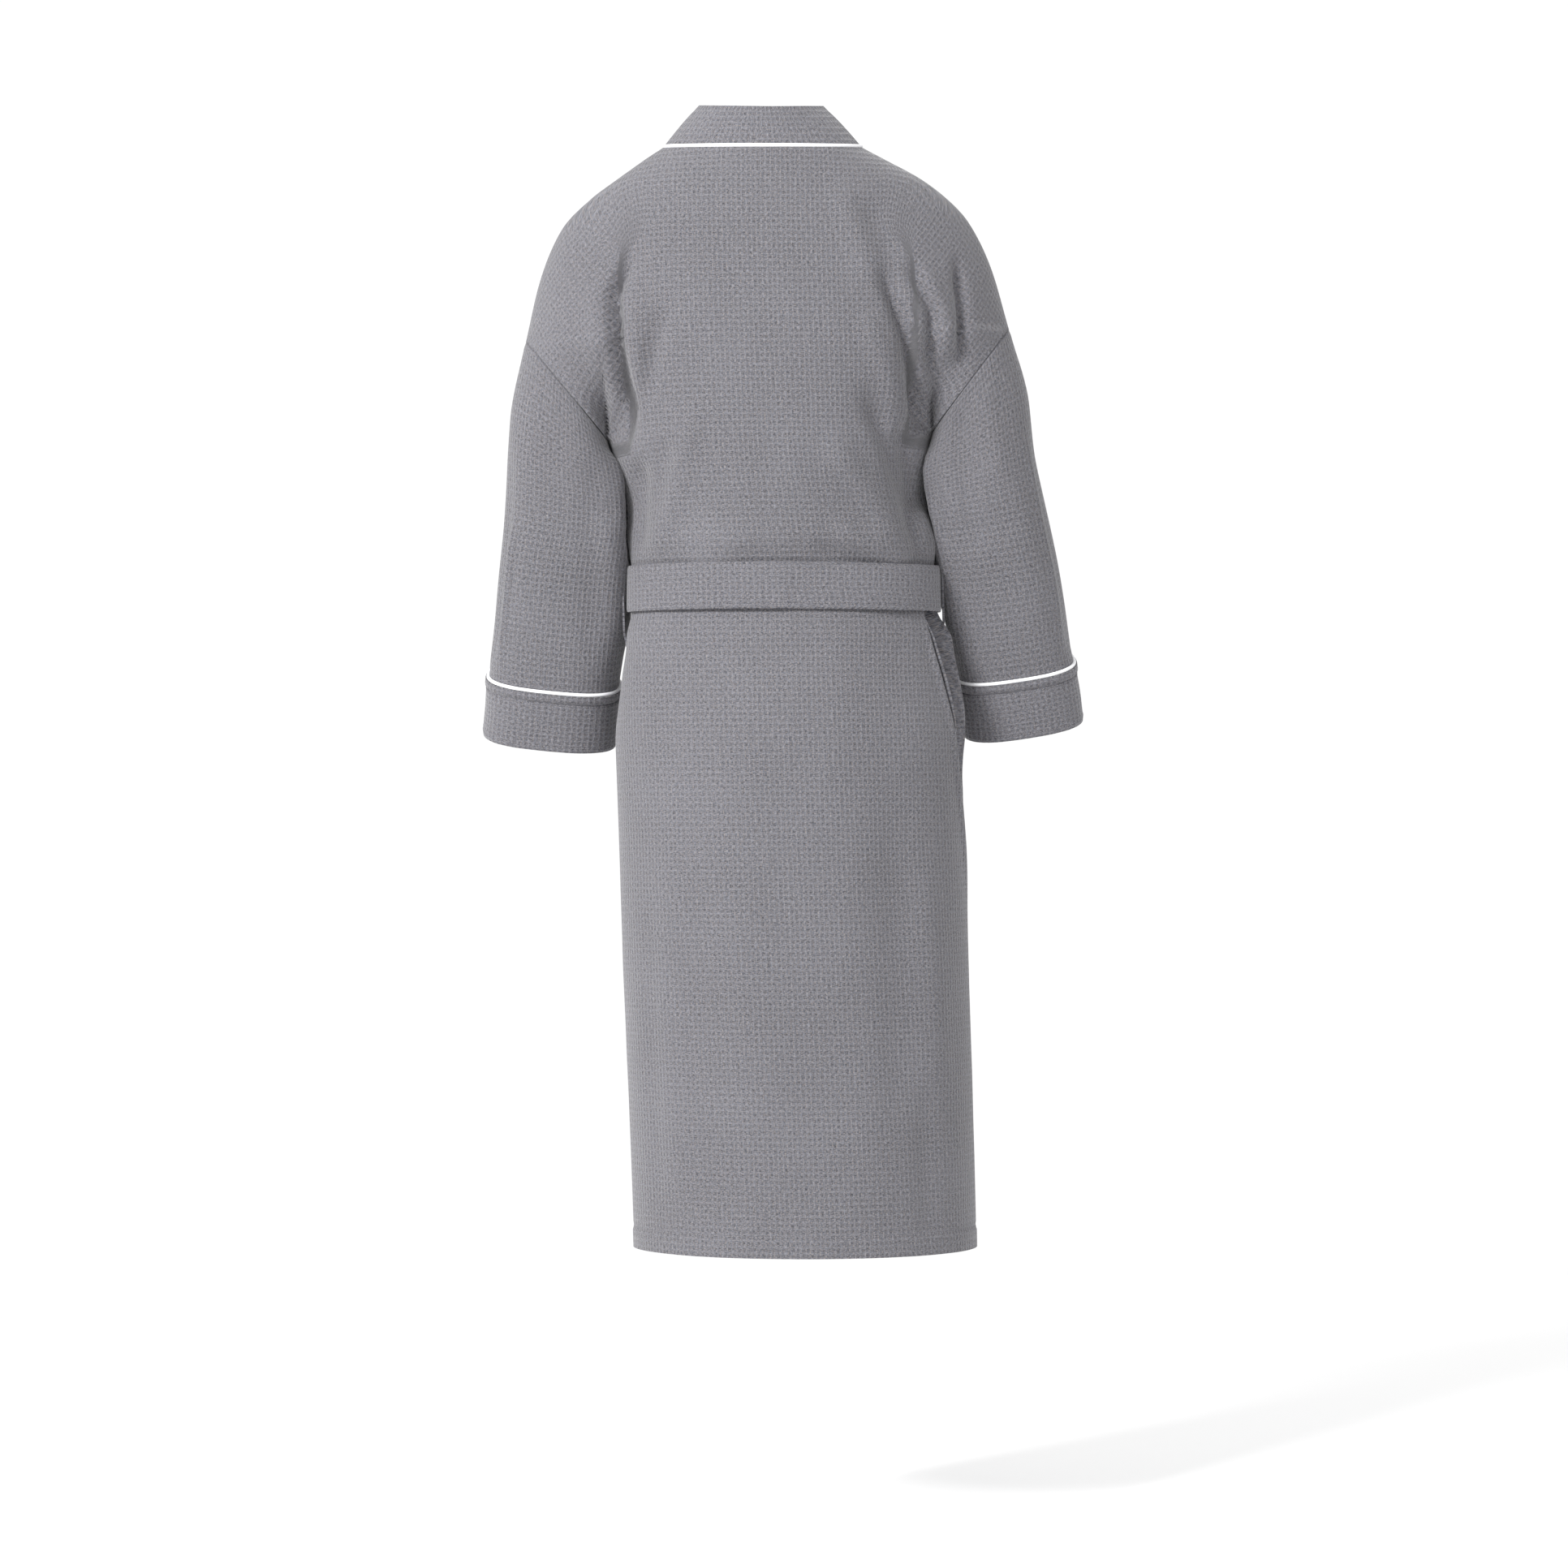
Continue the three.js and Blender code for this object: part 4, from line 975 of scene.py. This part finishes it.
sleeves = {name: sleeve(side, name, folds) for side, name, folds in
           ((1, "left", LEFT_SLEEVE_FOLDS), (-1, "right", RIGHT_SLEEVE_FOLDS))}
cuffs = {name: cuff(side, name) for side, name in SIDES}
cuff_cords = {name: cuff_cord(side, name) for side, name in SIDES}
print("sleeves end at", [round(min(v.co.z for v in c.data.vertices), 3) for c in cuffs.values()])

# %% [markdown]
# ## The belt
# The belt is one long sash of doubled cloth. It goes once round the waist, is tied in a flat knot in
# front, and its two ends hang. The knot here is two pieces: the sash gathered into a flat roll, and
# the strip that wraps over it. The two ends come out below.

# %% The sash round the waist
BELT_EASE, BELT_FRONT = 0.0016, LAYER + 0.0065


def belt_places(turn, drop, off):
    """turn is 0 at the middle of the back and grows towards the wearer's left."""
    angle = turn * 2 * math.pi
    s, c = np.sin(angle), np.cos(angle)
    depth = np.where(c > 0, back_depth(drop) + off, front_depth(drop) + BELT_FRONT + off - BELT_EASE)
    return stack((torso_half(drop) + off) * s + sway(BELT_DROP), depth * c, -drop)


def belt():
    drops = np.linspace(BELT_TOP, BELT_BOTTOM, 15)
    turn, drop = round_grid(180, drops)
    share = (drop - BELT_TOP) / BELT_WIDTH
    places = belt_places(turn, drop, BELT_EASE + DOUBLE)
    n = outward(places, closed=True)
    edges = -0.0012 * np.exp(-((np.minimum(share, 1 - share) / 0.035) ** 2))
    stitched = -0.0007 * np.exp(-(((np.minimum(share, 1 - share) - 0.11) / 0.03) ** 2))
    wave = ripple(turn * 0.95, drop, 0.09, 0.05, 0.0020, 3.3)
    dip = 0.0010 * np.sin(turn * 2 * math.pi * 3 + 1.0)
    places = places + n * (edges + stitched + wave * 0.7 + 0.0003)[..., None]
    places[..., 2] += dip * (0.5 - 0.2 * share) + LEVEL_TILT * places[..., 0]
    girth = girth_of(places)
    flat = np.stack([girth, np.broadcast_to(-drops[:, None], girth.shape)], axis=-1)
    return cloth("belt_round_waist", places, flat, DOUBLE, band_grey, closed=True)


sash = belt()


# %% A strip of doubled cloth along a path, for the knot and the tails
def strip(name, path, widths, across, thickness, material, crown=0.0008, count=9, pleats=0.0):
    """path: points of its middle; across: the direction of its width at each point."""
    path, across = np.array(path, float), np.array(across, float)
    across /= np.linalg.norm(across, axis=1)[:, None]
    share = np.linspace(-0.5, 0.5, count)
    grid = path[:, None] + across[:, None] * (share[None, :, None] * np.array(widths)[:, None, None])
    n = grid_normals(grid)
    raised = crown * np.cos(np.pi * share) + pleats * np.cos(6 * np.pi * share + 0.6)
    grid = grid + n * raised[None, :, None]
    along = np.r_[0, np.cumsum(np.linalg.norm(np.diff(path, axis=0), axis=1))]
    flat = np.stack([np.broadcast_to(share * max(widths), grid.shape[:2]),
                     np.broadcast_to(along[:, None], grid.shape[:2])], axis=-1)
    about = grid - n * 0.02
    return cloth(name, grid, flat, thickness, material, about=about)


knot_low, knot_high = (np.array(corner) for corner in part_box("belt_knot"))
knot_middle = (knot_low + knot_high) / 2
knot_size = (knot_high - knot_low) / 2


def knot_core():
    """The sash gathered sideways inside the knot: a flat roll, drawn in where the wrap holds it."""
    turn, lay = np.meshgrid(np.linspace(0, 2 * math.pi, 72, endpoint=False), np.linspace(-1, 1, 40))
    ends = np.maximum(0.06, 1 - np.abs(lay) ** 5) ** 0.5
    drawn = 0.66 + 0.34 * ease(0.30, 0.62, np.abs(lay))
    crease = 1 + 0.09 * np.cos(turn * 6 + 1.4 * lay) * ease(0.95, 0.35, np.abs(lay))
    x = knot_middle[0] + (knot_size[0] + 0.0060) * lay
    y = knot_middle[1] + 0.0015 - (knot_size[1] - 0.0025) * drawn * ends * crease * np.cos(turn)
    z = knot_middle[2] + 0.004 * lay + (knot_size[2] - 0.0035) * drawn * ends * crease * np.sin(turn)
    places = stack(x, y, z)
    girth = girth_of(places)
    flat = np.stack([girth, np.broadcast_to(x[:, :1], girth.shape)], axis=-1)
    return cloth("belt_knot_core", places, flat, 0.0012, band_grey, closed=True)


def knot_wrap():
    """The strip that comes up from behind, over the roll, and goes down behind it again."""
    turns = np.linspace(math.radians(-168), math.radians(168), 64)
    path, across, widths = [], [], []
    for turn in turns:
        high = (knot_size[2] + 0.0020) * math.sin(turn)
        deep = (knot_size[1] + 0.0010) * math.copysign(abs(math.cos(turn)) ** 0.7, math.cos(turn))
        path.append(knot_middle + np.array([-0.012 * math.sin(turn), -deep, high]))
        across.append((1, 0, 0.42 * math.cos(turn)))
        widths.append(0.034 - 0.010 * abs(math.sin(turn)) ** 3)
    return strip("belt_knot_wrap", path, widths, across, 0.0026, band_grey, crown=0.0012, count=33,
                 pleats=0.0009)


wrap, core = knot_wrap(), knot_core()
print("knot", [round(float(v), 3) for v in knot_low], [round(float(v), 3) for v in knot_high])


# %% The two hanging ends
TAIL_TUCK = 0.002     # an end is held by the knot this far down from its top
TAIL_TURN = 0.030     # and swings as a whole from here, with a soft bend between the two


def tail(name, node, sideways):
    low, high = (np.array(corner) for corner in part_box(node))
    middle = (low + high) / 2
    t = np.linspace(0, 1, 60)
    x = middle[0] - 0.0150 * sideways * (1 - ease(0, 0.22, t)) + 0.0012 * np.sin(t * 5 + sideways) * t
    y = mix(high[1] - 0.0018, low[1] + 0.0018, t)
    y = y + 0.0014 * np.sin(t * 7 + 2 * sideways) * t - 0.0008
    z = mix(high[2] + 0.0040, low[2] + 0.0005, t)
    widths = 0.027 + 0.025 * ease(0, 0.20, t) - 0.0006
    across = np.stack([np.ones(60), 0.05 * np.sin(t * 4 + sideways), 0 * t], axis=-1)
    return strip(name, np.stack([x, y, z], axis=-1), widths, across, DOUBLE - 0.0004, band_grey,
                 crown=0.0012, count=13)


tails = {"left": tail("belt_end_left", "belt_tail_left", 1.0),
         "right": tail("belt_end_right", "belt_tail_right", -1.0)}
print("tails", [piece.name for piece in tails.values()])


# %% Belt loops on the side seams
def belt_loop(name, node, side):
    low, high = (np.array(corner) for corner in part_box(node))
    outer = side * (float(torso_half(BELT_DROP)) + BELT_EASE + DOUBLE + 0.0034) - WAIST_SWAY
    inner = low[0] if side > 0 else high[0]
    t = np.linspace(0, 1, 50)
    stand = ease(0, 0.19, t) * ease(1, 0.81, t)
    x = mix(inner + side * 0.0024, outer, stand)
    path = np.stack([x, 0 * t, mix(high[2], low[2], t)], axis=-1)
    across = np.tile((0.0, 1.0, 0.0), (50, 1))
    return strip(name, path, np.full(50, 0.0098), across, 0.0022, band_grey, crown=0.0003, count=5)


loops = {"left": belt_loop("left_belt_keeper", "left_belt_loop", 1),
         "right": belt_loop("right_belt_keeper", "right_belt_loop", -1)}

# %% [markdown]
# ## Pockets, the hanging loop and the labels
# A patch pocket is sewn to the front on three sides and stands off it a little in the middle. The
# loop and the two blank labels are inside the back.


# %% Patch pockets with a piped mouth
def pocket_place(side, u, drop, off):
    angle = np.radians(mix(POCKET_FROM, POCKET_TO, u))
    half = panel_half(drop)
    x = half * np.sin(angle)
    down = np.clip((drop - POCKET_TOP) / POCKET_HEIGHT, 0, 1)
    bulge = POCKET_BULGE * np.sin(np.pi * u) ** 0.7 * bow(down) ** 0.7
    lift = (LAYER if side > 0 else 0) * (1 - ease(0.62, 0.97, x / half))
    depth = depth_at(x, drop, front_depth(drop)) + lift
    stand = bulge + off
    return stack(side * (x + stand * np.sin(angle)) + sway(drop), -depth - stand * np.cos(angle), -drop)


def pocket(side, name):
    drops = np.linspace(POCKET_TOP + 0.0015, POCKET_TOP + POCKET_HEIGHT, 50)
    u, drop = np.meshgrid(np.linspace(0, 1, 40), drops)
    places = pocket_place(side, u, drop, CLOTH + 0.0014)
    n = outward(places, about=np.array([-WAIST_SWAY, 0, -0.78]))
    rim = np.minimum(np.minimum(u, 1 - u) * 0.20, POCKET_TOP + POCKET_HEIGHT - drop)
    sewn = -0.0010 * np.exp(-(((rim - 0.004) / 0.0018) ** 2)) - 0.0012 * ease(0.004, 0, rim)
    places = places + n * (sewn + ripple(u * 0.2, drop, 0.05, 0.07, 0.0014, 6.6 * side))[..., None]
    flat = np.stack([arc(places), -drop], axis=-1)
    return cloth(f"{name}_patch_pocket", places, flat, CLOTH, grey,
                 about=np.array([-WAIST_SWAY, 0, -0.78]))


pockets = {name: pocket(side, name) for side, name in SIDES}
pocket_cords = {}
for side, name in SIDES:
    mouth = pocket_place(side, np.linspace(0, 1, 40), np.full(40, POCKET_TOP + PIPING), PIPING + 0.001)
    pocket_cords[name] = tube(f"{name}_pocket_white_piping", mouth, PIPING, white)
print("pockets", [piece.name for piece in pockets.values()])

# %% The hanging loop and the blank labels
low, high = (np.array(corner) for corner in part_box("hanger_loop"))
mid_y, leg = (low[1] + high[1]) / 2, 0.004
turn = np.linspace(math.pi, 2 * math.pi, 24)
corner = 0.011
left_turn = [(low[0] + leg + corner + corner * math.cos(t), low[2] + leg + corner + corner * math.sin(t))
             for t in turn[:12]]
right_turn = [(high[0] - leg - corner + corner * math.cos(t), low[2] + leg + corner + corner * math.sin(t))
              for t in turn[12:]]
line = [(low[0] + leg, high[2] - 0.0005)] + left_turn + right_turn + [(high[0] - leg, high[2] - 0.0005)]
line = np.array([(x, mid_y, z) for x, z in line])
ahead = np.gradient(line, axis=0)
hanging_loop = strip("hanging_loop", line, np.full(len(line), 0.0078),
                     np.cross(ahead, (0, 1, 0)), 0.0019, band_grey, crown=0.0, count=5)


def blank_label(name, node):
    low, high = (np.array(corner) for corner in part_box(node))
    x, z = np.meshgrid(np.linspace(low[0], high[0], 30), np.linspace(high[2], low[2], 22))
    y = depth_at(np.abs(x - sway(-z)), -z, back_depth(-z)) - CLOTH - 0.0016
    u, v = (x - low[0]) / (high[0] - low[0]), (high[2] - z) / (high[2] - low[2])
    rim = np.minimum(np.minimum(u, 1 - u), np.minimum(v, 1 - v))
    y = y + 0.0003 * np.exp(-(((rim - 0.06) / 0.02) ** 2))
    places = stack(x, y, z)
    flat = np.stack([x, z], axis=-1)
    return cloth(name, places, flat, 0.0007, label, about=np.array([0, 1.0, -0.1]))


labels = {"neck": blank_label("blank_neck_label", "neck_label"),
          "care": blank_label("blank_care_label", "care_label")}
print("inside:", hanging_loop.name, [piece.name for piece in labels.values()])

# %% [markdown]
# ## Stitches
# The hem, the cuffs and the belt are sewn with a row of short stitches. One Geometry Nodes
# tree lays a small thread capsule every few millimetres along any path; each row is then taken as a
# plain mesh for the body it is sewn to.

# %% One tree for every row of stitches
def add_node(tree, kind, **settings):
    made = tree.nodes.new(kind)
    for key, value in settings.items():
        setattr(made, key, value)
    return made


def stitch_tree():
    tree = bpy.data.node_groups.new("row_of_stitches", "GeometryNodeTree")
    tree.interface.new_socket("Path", in_out="INPUT", socket_type="NodeSocketGeometry")
    for name, value in (("Stitch length", 0.0024), ("Spacing", 0.0034), ("Thread", 0.00035)):
        tree.interface.new_socket(name, in_out="INPUT", socket_type="NodeSocketFloat").default_value = value
    tree.interface.new_socket("Finish", in_out="INPUT", socket_type="NodeSocketMaterial")
    tree.interface.new_socket("Stitches", in_out="OUTPUT", socket_type="NodeSocketGeometry")
    inlet, outlet = add_node(tree, "NodeGroupInput"), add_node(tree, "NodeGroupOutput")
    to_curve = add_node(tree, "GeometryNodeMeshToCurve")
    spaced = add_node(tree, "GeometryNodeResampleCurve", mode="LENGTH")
    capsule = add_node(tree, "GeometryNodeMeshUVSphere")
    capsule.inputs["Segments"].default_value = 6
    capsule.inputs["Rings"].default_value = 4
    shaped = add_node(tree, "ShaderNodeCombineXYZ")
    laid = add_node(tree, "GeometryNodeInstanceOnPoints")
    tangent = add_node(tree, "GeometryNodeInputTangent")
    faced = add_node(tree, "FunctionNodeAlignRotationToVector", axis="Z")
    half = add_node(tree, "ShaderNodeMath", operation="MULTIPLY")
    half.inputs[1].default_value = 0.5
    real = add_node(tree, "GeometryNodeRealizeInstances")
    finish_node = add_node(tree, "GeometryNodeSetMaterial")
    capsule.inputs["Radius"].default_value = 1.0
    for source, output, target, place in (
            (inlet, "Path", to_curve, "Mesh"), (to_curve, "Curve", spaced, "Curve"),
            (inlet, "Spacing", spaced, "Length"), (inlet, "Stitch length", half, 0),
            (inlet, "Thread", shaped, "X"), (inlet, "Thread", shaped, "Y"), (half, 0, shaped, "Z"),
            (spaced, "Curve", laid, "Points"), (capsule, "Mesh", laid, "Instance"),
            (tangent, "Tangent", faced, "Vector"), (faced, "Rotation", laid, "Rotation"),
            (shaped, "Vector", laid, "Scale"), (laid, "Instances", real, "Geometry"),
            (real, "Geometry", finish_node, "Geometry"), (inlet, "Finish", finish_node, "Material"),
            (finish_node, "Geometry", outlet, "Stitches")):
        tree.links.new(source.outputs[output], target.inputs[place])
    return tree


STITCHES = stitch_tree()


def stitched(name, paths, material=thread, length=0.0024, spacing=0.0034, thickness=0.00035):
    points = [tuple(p) for path in paths for p in path]
    edges, start = [], 0
    for path in paths:
        edges += [(start + i, start + i + 1) for i in range(len(path) - 1)]
        start += len(path)
    mesh = bpy.data.meshes.new(name)
    mesh.from_pydata(points, edges, [])
    made = linked(name, mesh)
    sewing = made.modifiers.new("sewing", "NODES")
    sewing.node_group = STITCHES
    wanted = {"Stitch length": length, "Spacing": spacing, "Thread": thickness, "Finish": material}
    for item in STITCHES.interface.items_tree:
        if item.in_out == "INPUT" and item.name in wanted:
            sewing[item.identifier] = wanted[item.name]
    finished(made)
    return made


def on_cloth(piece, points, proud=0.0002):
    """Moves points onto the piece's outer face, a little proud of it."""
    moved = []
    for p in points:
        _, place, normal, _ = piece.closest_point_on_mesh(Vector(p))
        moved.append(tuple(place + normal * proud))
    return moved


# %% Rows of stitches
def back_row(drop, count=240):
    """Places along the back panel at one drop."""
    line, flat = back_grid(np.array([drop - 0.001, drop, drop + 0.001]), count)
    return line[1]


def front_row(side, drop, lift, count=160):
    line, flat = front_grid(side, np.array([drop - 0.001, drop, drop + 0.001]), count, lift)
    return line[1]


HEM_ROW = BACK_LENGTH - HEM_DEPTH
left_skirt, right_skirt = front_pieces["left", "front_skirt"], front_pieces["right", "front_skirt"]
hem_back = stitched("hem_stitches_back", [on_cloth(back_skirt, back_row(HEM_ROW))])
hem_left = stitched("hem_stitches_left", [on_cloth(left_skirt, front_row(1, HEM_ROW, LAYER))])
hem_right = stitched("hem_stitches_right", [on_cloth(right_skirt, front_row(-1, HEM_ROW, 0))])


def cuff_rows(side, name):
    rows_ = []
    for down in (0.0135, CUFF_HEIGHT - 0.0060):
        turn, t = round_grid(200, np.array([1 + down / SLEEVE_LENGTH]))
        ring_ = list(sleeve_places(side, turn, t, 0.006)[0])
        rows_.append(on_cloth(cuffs[name], ring_ + ring_[:1]))
    return rows_


cuff_stitches = {name: stitched(f"{name}_cuff_stitches", cuff_rows(side, name)) for side, name in SIDES}
belt_rows = []
for drop in (BELT_TOP + 0.0055, BELT_BOTTOM - 0.0055):
    turn, d = round_grid(300, np.array([drop]))
    ring_ = list(belt_places(turn, d, BELT_EASE + DOUBLE + 0.005)[0])
    belt_rows.append(on_cloth(sash, ring_ + ring_[:1]))
belt_stitches = stitched("belt_stitches", belt_rows)

# %% [markdown]
# ## Joints
# Each piece rides on a CAD body. The sleeves bend with the arm, so their cloth blends from the body
# to the sleeve across the armhole. The left front blends across the line its corner folds on, and
# each belt end bends softly below the knot.

# %% What each piece rides on
def joint(name):
    return next(j for j in frame["record"]["behaviour"]["joints"] if j["name"] == name)


def carry(body, slot, nodes, *made):
    for piece in made:
        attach(piece, body)
        settle(nodes)


def bend(other, start, end, slot, nodes, *made):
    for piece in made:
        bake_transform(piece, "root", other, start=tuple(start), end=tuple(end))
        settle(nodes)


def settle(nodes):
    if nodes:
        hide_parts(*nodes)


carry("root", "grey_waffle", ["back_panel"], back_top, back_skirt)
carry("root", "grey_waffle", ["left_front_panel"], front_pieces["left", "front_above_belt"])
carry("root", "grey_waffle", ["right_front_panel"], front_pieces["right", "front_above_belt"],
      right_skirt)
carry("root", "grey_waffle", ["collar_band"], collar, right_band)
carry("root", "white_piping", ["collar_piping"], collar_cord, right_cord)
carry("root", "grey_waffle", ["belt_wrap"], sash)
carry("root", "grey_waffle", ["belt_knot"], wrap, core)
carry("root", "grey_waffle", [], hem_back, hem_right, belt_stitches)
for name in ("left", "right"):
    carry("root", "grey_waffle", [f"{name}_belt_loop"], loops[name])
    carry("root", "grey_waffle", [f"{name}_pocket"], pockets[name])
    carry("root", "white_piping", [f"{name}_pocket_piping"], pocket_cords[name])
    low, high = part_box(f"belt_tail_{name}")
    root_of_tail = [(low[0] + high[0]) / 2, (low[1] + high[1]) / 2]
    bend(f"tail_{name}", root_of_tail + [high[2] - TAIL_TUCK], root_of_tail + [high[2] - TAIL_TURN],
         "grey_waffle", [f"belt_tail_{name}"], tails[name])
    carry(f"{name}_sleeve_body", "grey_waffle", [f"{name}_cuff"], cuffs[name])
    carry(f"{name}_sleeve_body", "white_piping", [f"{name}_cuff_piping"], cuff_cords[name])
    carry(f"{name}_sleeve_body", "grey_waffle", [], cuff_stitches[name])
carry("hanger", "grey_waffle", ["hanger_loop"], hanging_loop)
carry("root", "blank_label", ["neck_label"], labels["neck"])
carry("root", "blank_label", ["care_label"], labels["care"])

SLEEVE_BEND = 0.15      # the sleeve's cloth turns with the arm over this length from the armhole
for side, name in SIDES:
    out = unit((side * 0.784, 0, -0.622))
    start = armhole_middle * np.array([side, 1, 1])
    bend(f"{name}_sleeve_body", start, start + SLEEVE_BEND * out, "grey_waffle", [f"{name}_sleeve"],
         sleeves[name])

corner_joint = joint("front_corner_fold")
hinge, axis = np.array(corner_joint["pos_m"]), unit(corner_joint["axis"])
over = unit(np.array([-1.0, 0, 0]) + axis[0] * axis)
corner_span = (hinge - 0.006 * over, hinge + 0.030 * over)
bend("front_corner", *corner_span, "grey_waffle", ["left_front_corner"], left_skirt)
bend("front_corner", *corner_span, "grey_waffle", ["left_front_band"], left_band)
bend("front_corner", *corner_span, "white_piping", ["left_front_piping"], left_cord)
bend("front_corner", *corner_span, "grey_waffle", [], hem_left)

# %% [markdown]
# ## The cut sizes
# Each cloth piece is listed with the size it was cut to and how it is held, and its area of cloth is printed
# against the cut.

def flat_area(piece):
    return sum(p.area for p in piece.data.polygons) / 2


CUTS = [
    (back_top, (0.670, 0.505), "hung"), (back_skirt, (0.500, 0.765), "hung"),
    (front_pieces["left", "front_above_belt"], (0.270, 0.500), "hung"),
    (front_pieces["right", "front_above_belt"], (0.270, 0.500), "hung"),
    (left_skirt, (0.340, 0.765), "hung"), (right_skirt, (0.350, 0.765), "hung"),
    (collar, (0.048, 1.330), "folded"), (left_band, (0.047, 0.745), "hung"),
    (right_band, (0.047, 0.745), "hung"),
    (sleeves["left"], (0.420, 0.350), "hung"), (sleeves["right"], (0.420, 0.350), "hung"),
    (cuffs["left"], (0.425, 0.070), "folded"), (cuffs["right"], (0.425, 0.070), "folded"),
    (sash, (0.053, 0.970), "folded"), (wrap, (0.032, 0.135), "folded"),
    (core, (0.095, 0.055), "gathered"),
    (tails["left"], (0.052, 0.330), "hung"), (tails["right"], (0.052, 0.330), "hung"),
    (loops["left"], (0.010, 0.100), "stretched"), (loops["right"], (0.010, 0.100), "stretched"),
    (pockets["left"], (0.160, 0.182), "laid"), (pockets["right"], (0.160, 0.182), "laid"),
    (hanging_loop, (0.010, 0.150), "hung"),
    (labels["neck"], (0.056, 0.035), "laid"), (labels["care"], (0.030, 0.060), "laid"),
]
for piece, (width, length), held in CUTS:
    made = flat_area(piece)
    share = made / width / length
    print(f"{piece.name}: {made:.4f} m2 of cloth, cut {width * length:.4f}, share {share:.2f}")

# %% [markdown]
# ## Floor, light and camera
# A white studio: a large pale floor at the wearer's feet, white surroundings, a broad soft light from
# the upper left behind the camera, and a camera level with the robe's middle, five metres behind.

# %% The stage
FEET = 0.322
floor_mesh = bpy.data.meshes.new("floor")
outline = [(2.6 * math.cos(a), 2.6 * math.sin(a), -BACK_LENGTH - FEET)
           for a in np.linspace(0, 2 * math.pi, 96, endpoint=False)]
floor_mesh.from_pydata(outline, [], [list(range(96))])
floor = linked("floor", floor_mesh)
pale = Finish("pale_floor")
pale.fill(pale.shader, {"Base Color": (0.97, 0.97, 0.97, 1), "Roughness": 0.9, "Specular IOR Level": 0.1})
floor_mesh.materials.append(pale.material)

world = bpy.data.worlds.new("white_studio")
bpy.context.scene.world = world
world.use_nodes = True
world.node_tree.nodes["Background"].inputs["Color"].default_value = (1, 1, 1, 1)
world.node_tree.nodes["Background"].inputs["Strength"].default_value = 1.02


def softbox(name, place, target, size, watts):
    data = bpy.data.lights.new(name, "AREA")
    data.shape, data.size, data.energy = "SQUARE", size, watts
    lamp = linked(name, data)
    lamp.location = place
    lamp.rotation_euler = (Vector(target) - Vector(place)).to_track_quat("-Z", "Y").to_euler()
    return lamp


softbox("key_light", (2.6, 3.2, 1.9), (0, 0, -0.6), 1.2, 260)
print("floor at", -BACK_LENGTH - FEET)

# %% The camera
camera_data = bpy.data.cameras.new("camera")
camera_data.sensor_width, camera_data.lens = 36, 101.3      # millimetres
camera = linked("camera", camera_data)
bpy.context.scene.camera = camera
DISTANCE, TILT = 5, math.radians(-1.5)
camera.location = (-0.0055, DISTANCE, -0.722)
camera.rotation_mode = "XYZ"
aim = Vector((0, -1, 0)).to_track_quat("-Z", "Y")
roll = Vector((0, 0, 1))
camera.rotation_euler = (aim.to_matrix() @ Matrix.Rotation(TILT, 3, roll)).to_euler()
bpy.context.scene.view_settings.view_transform = "Standard"
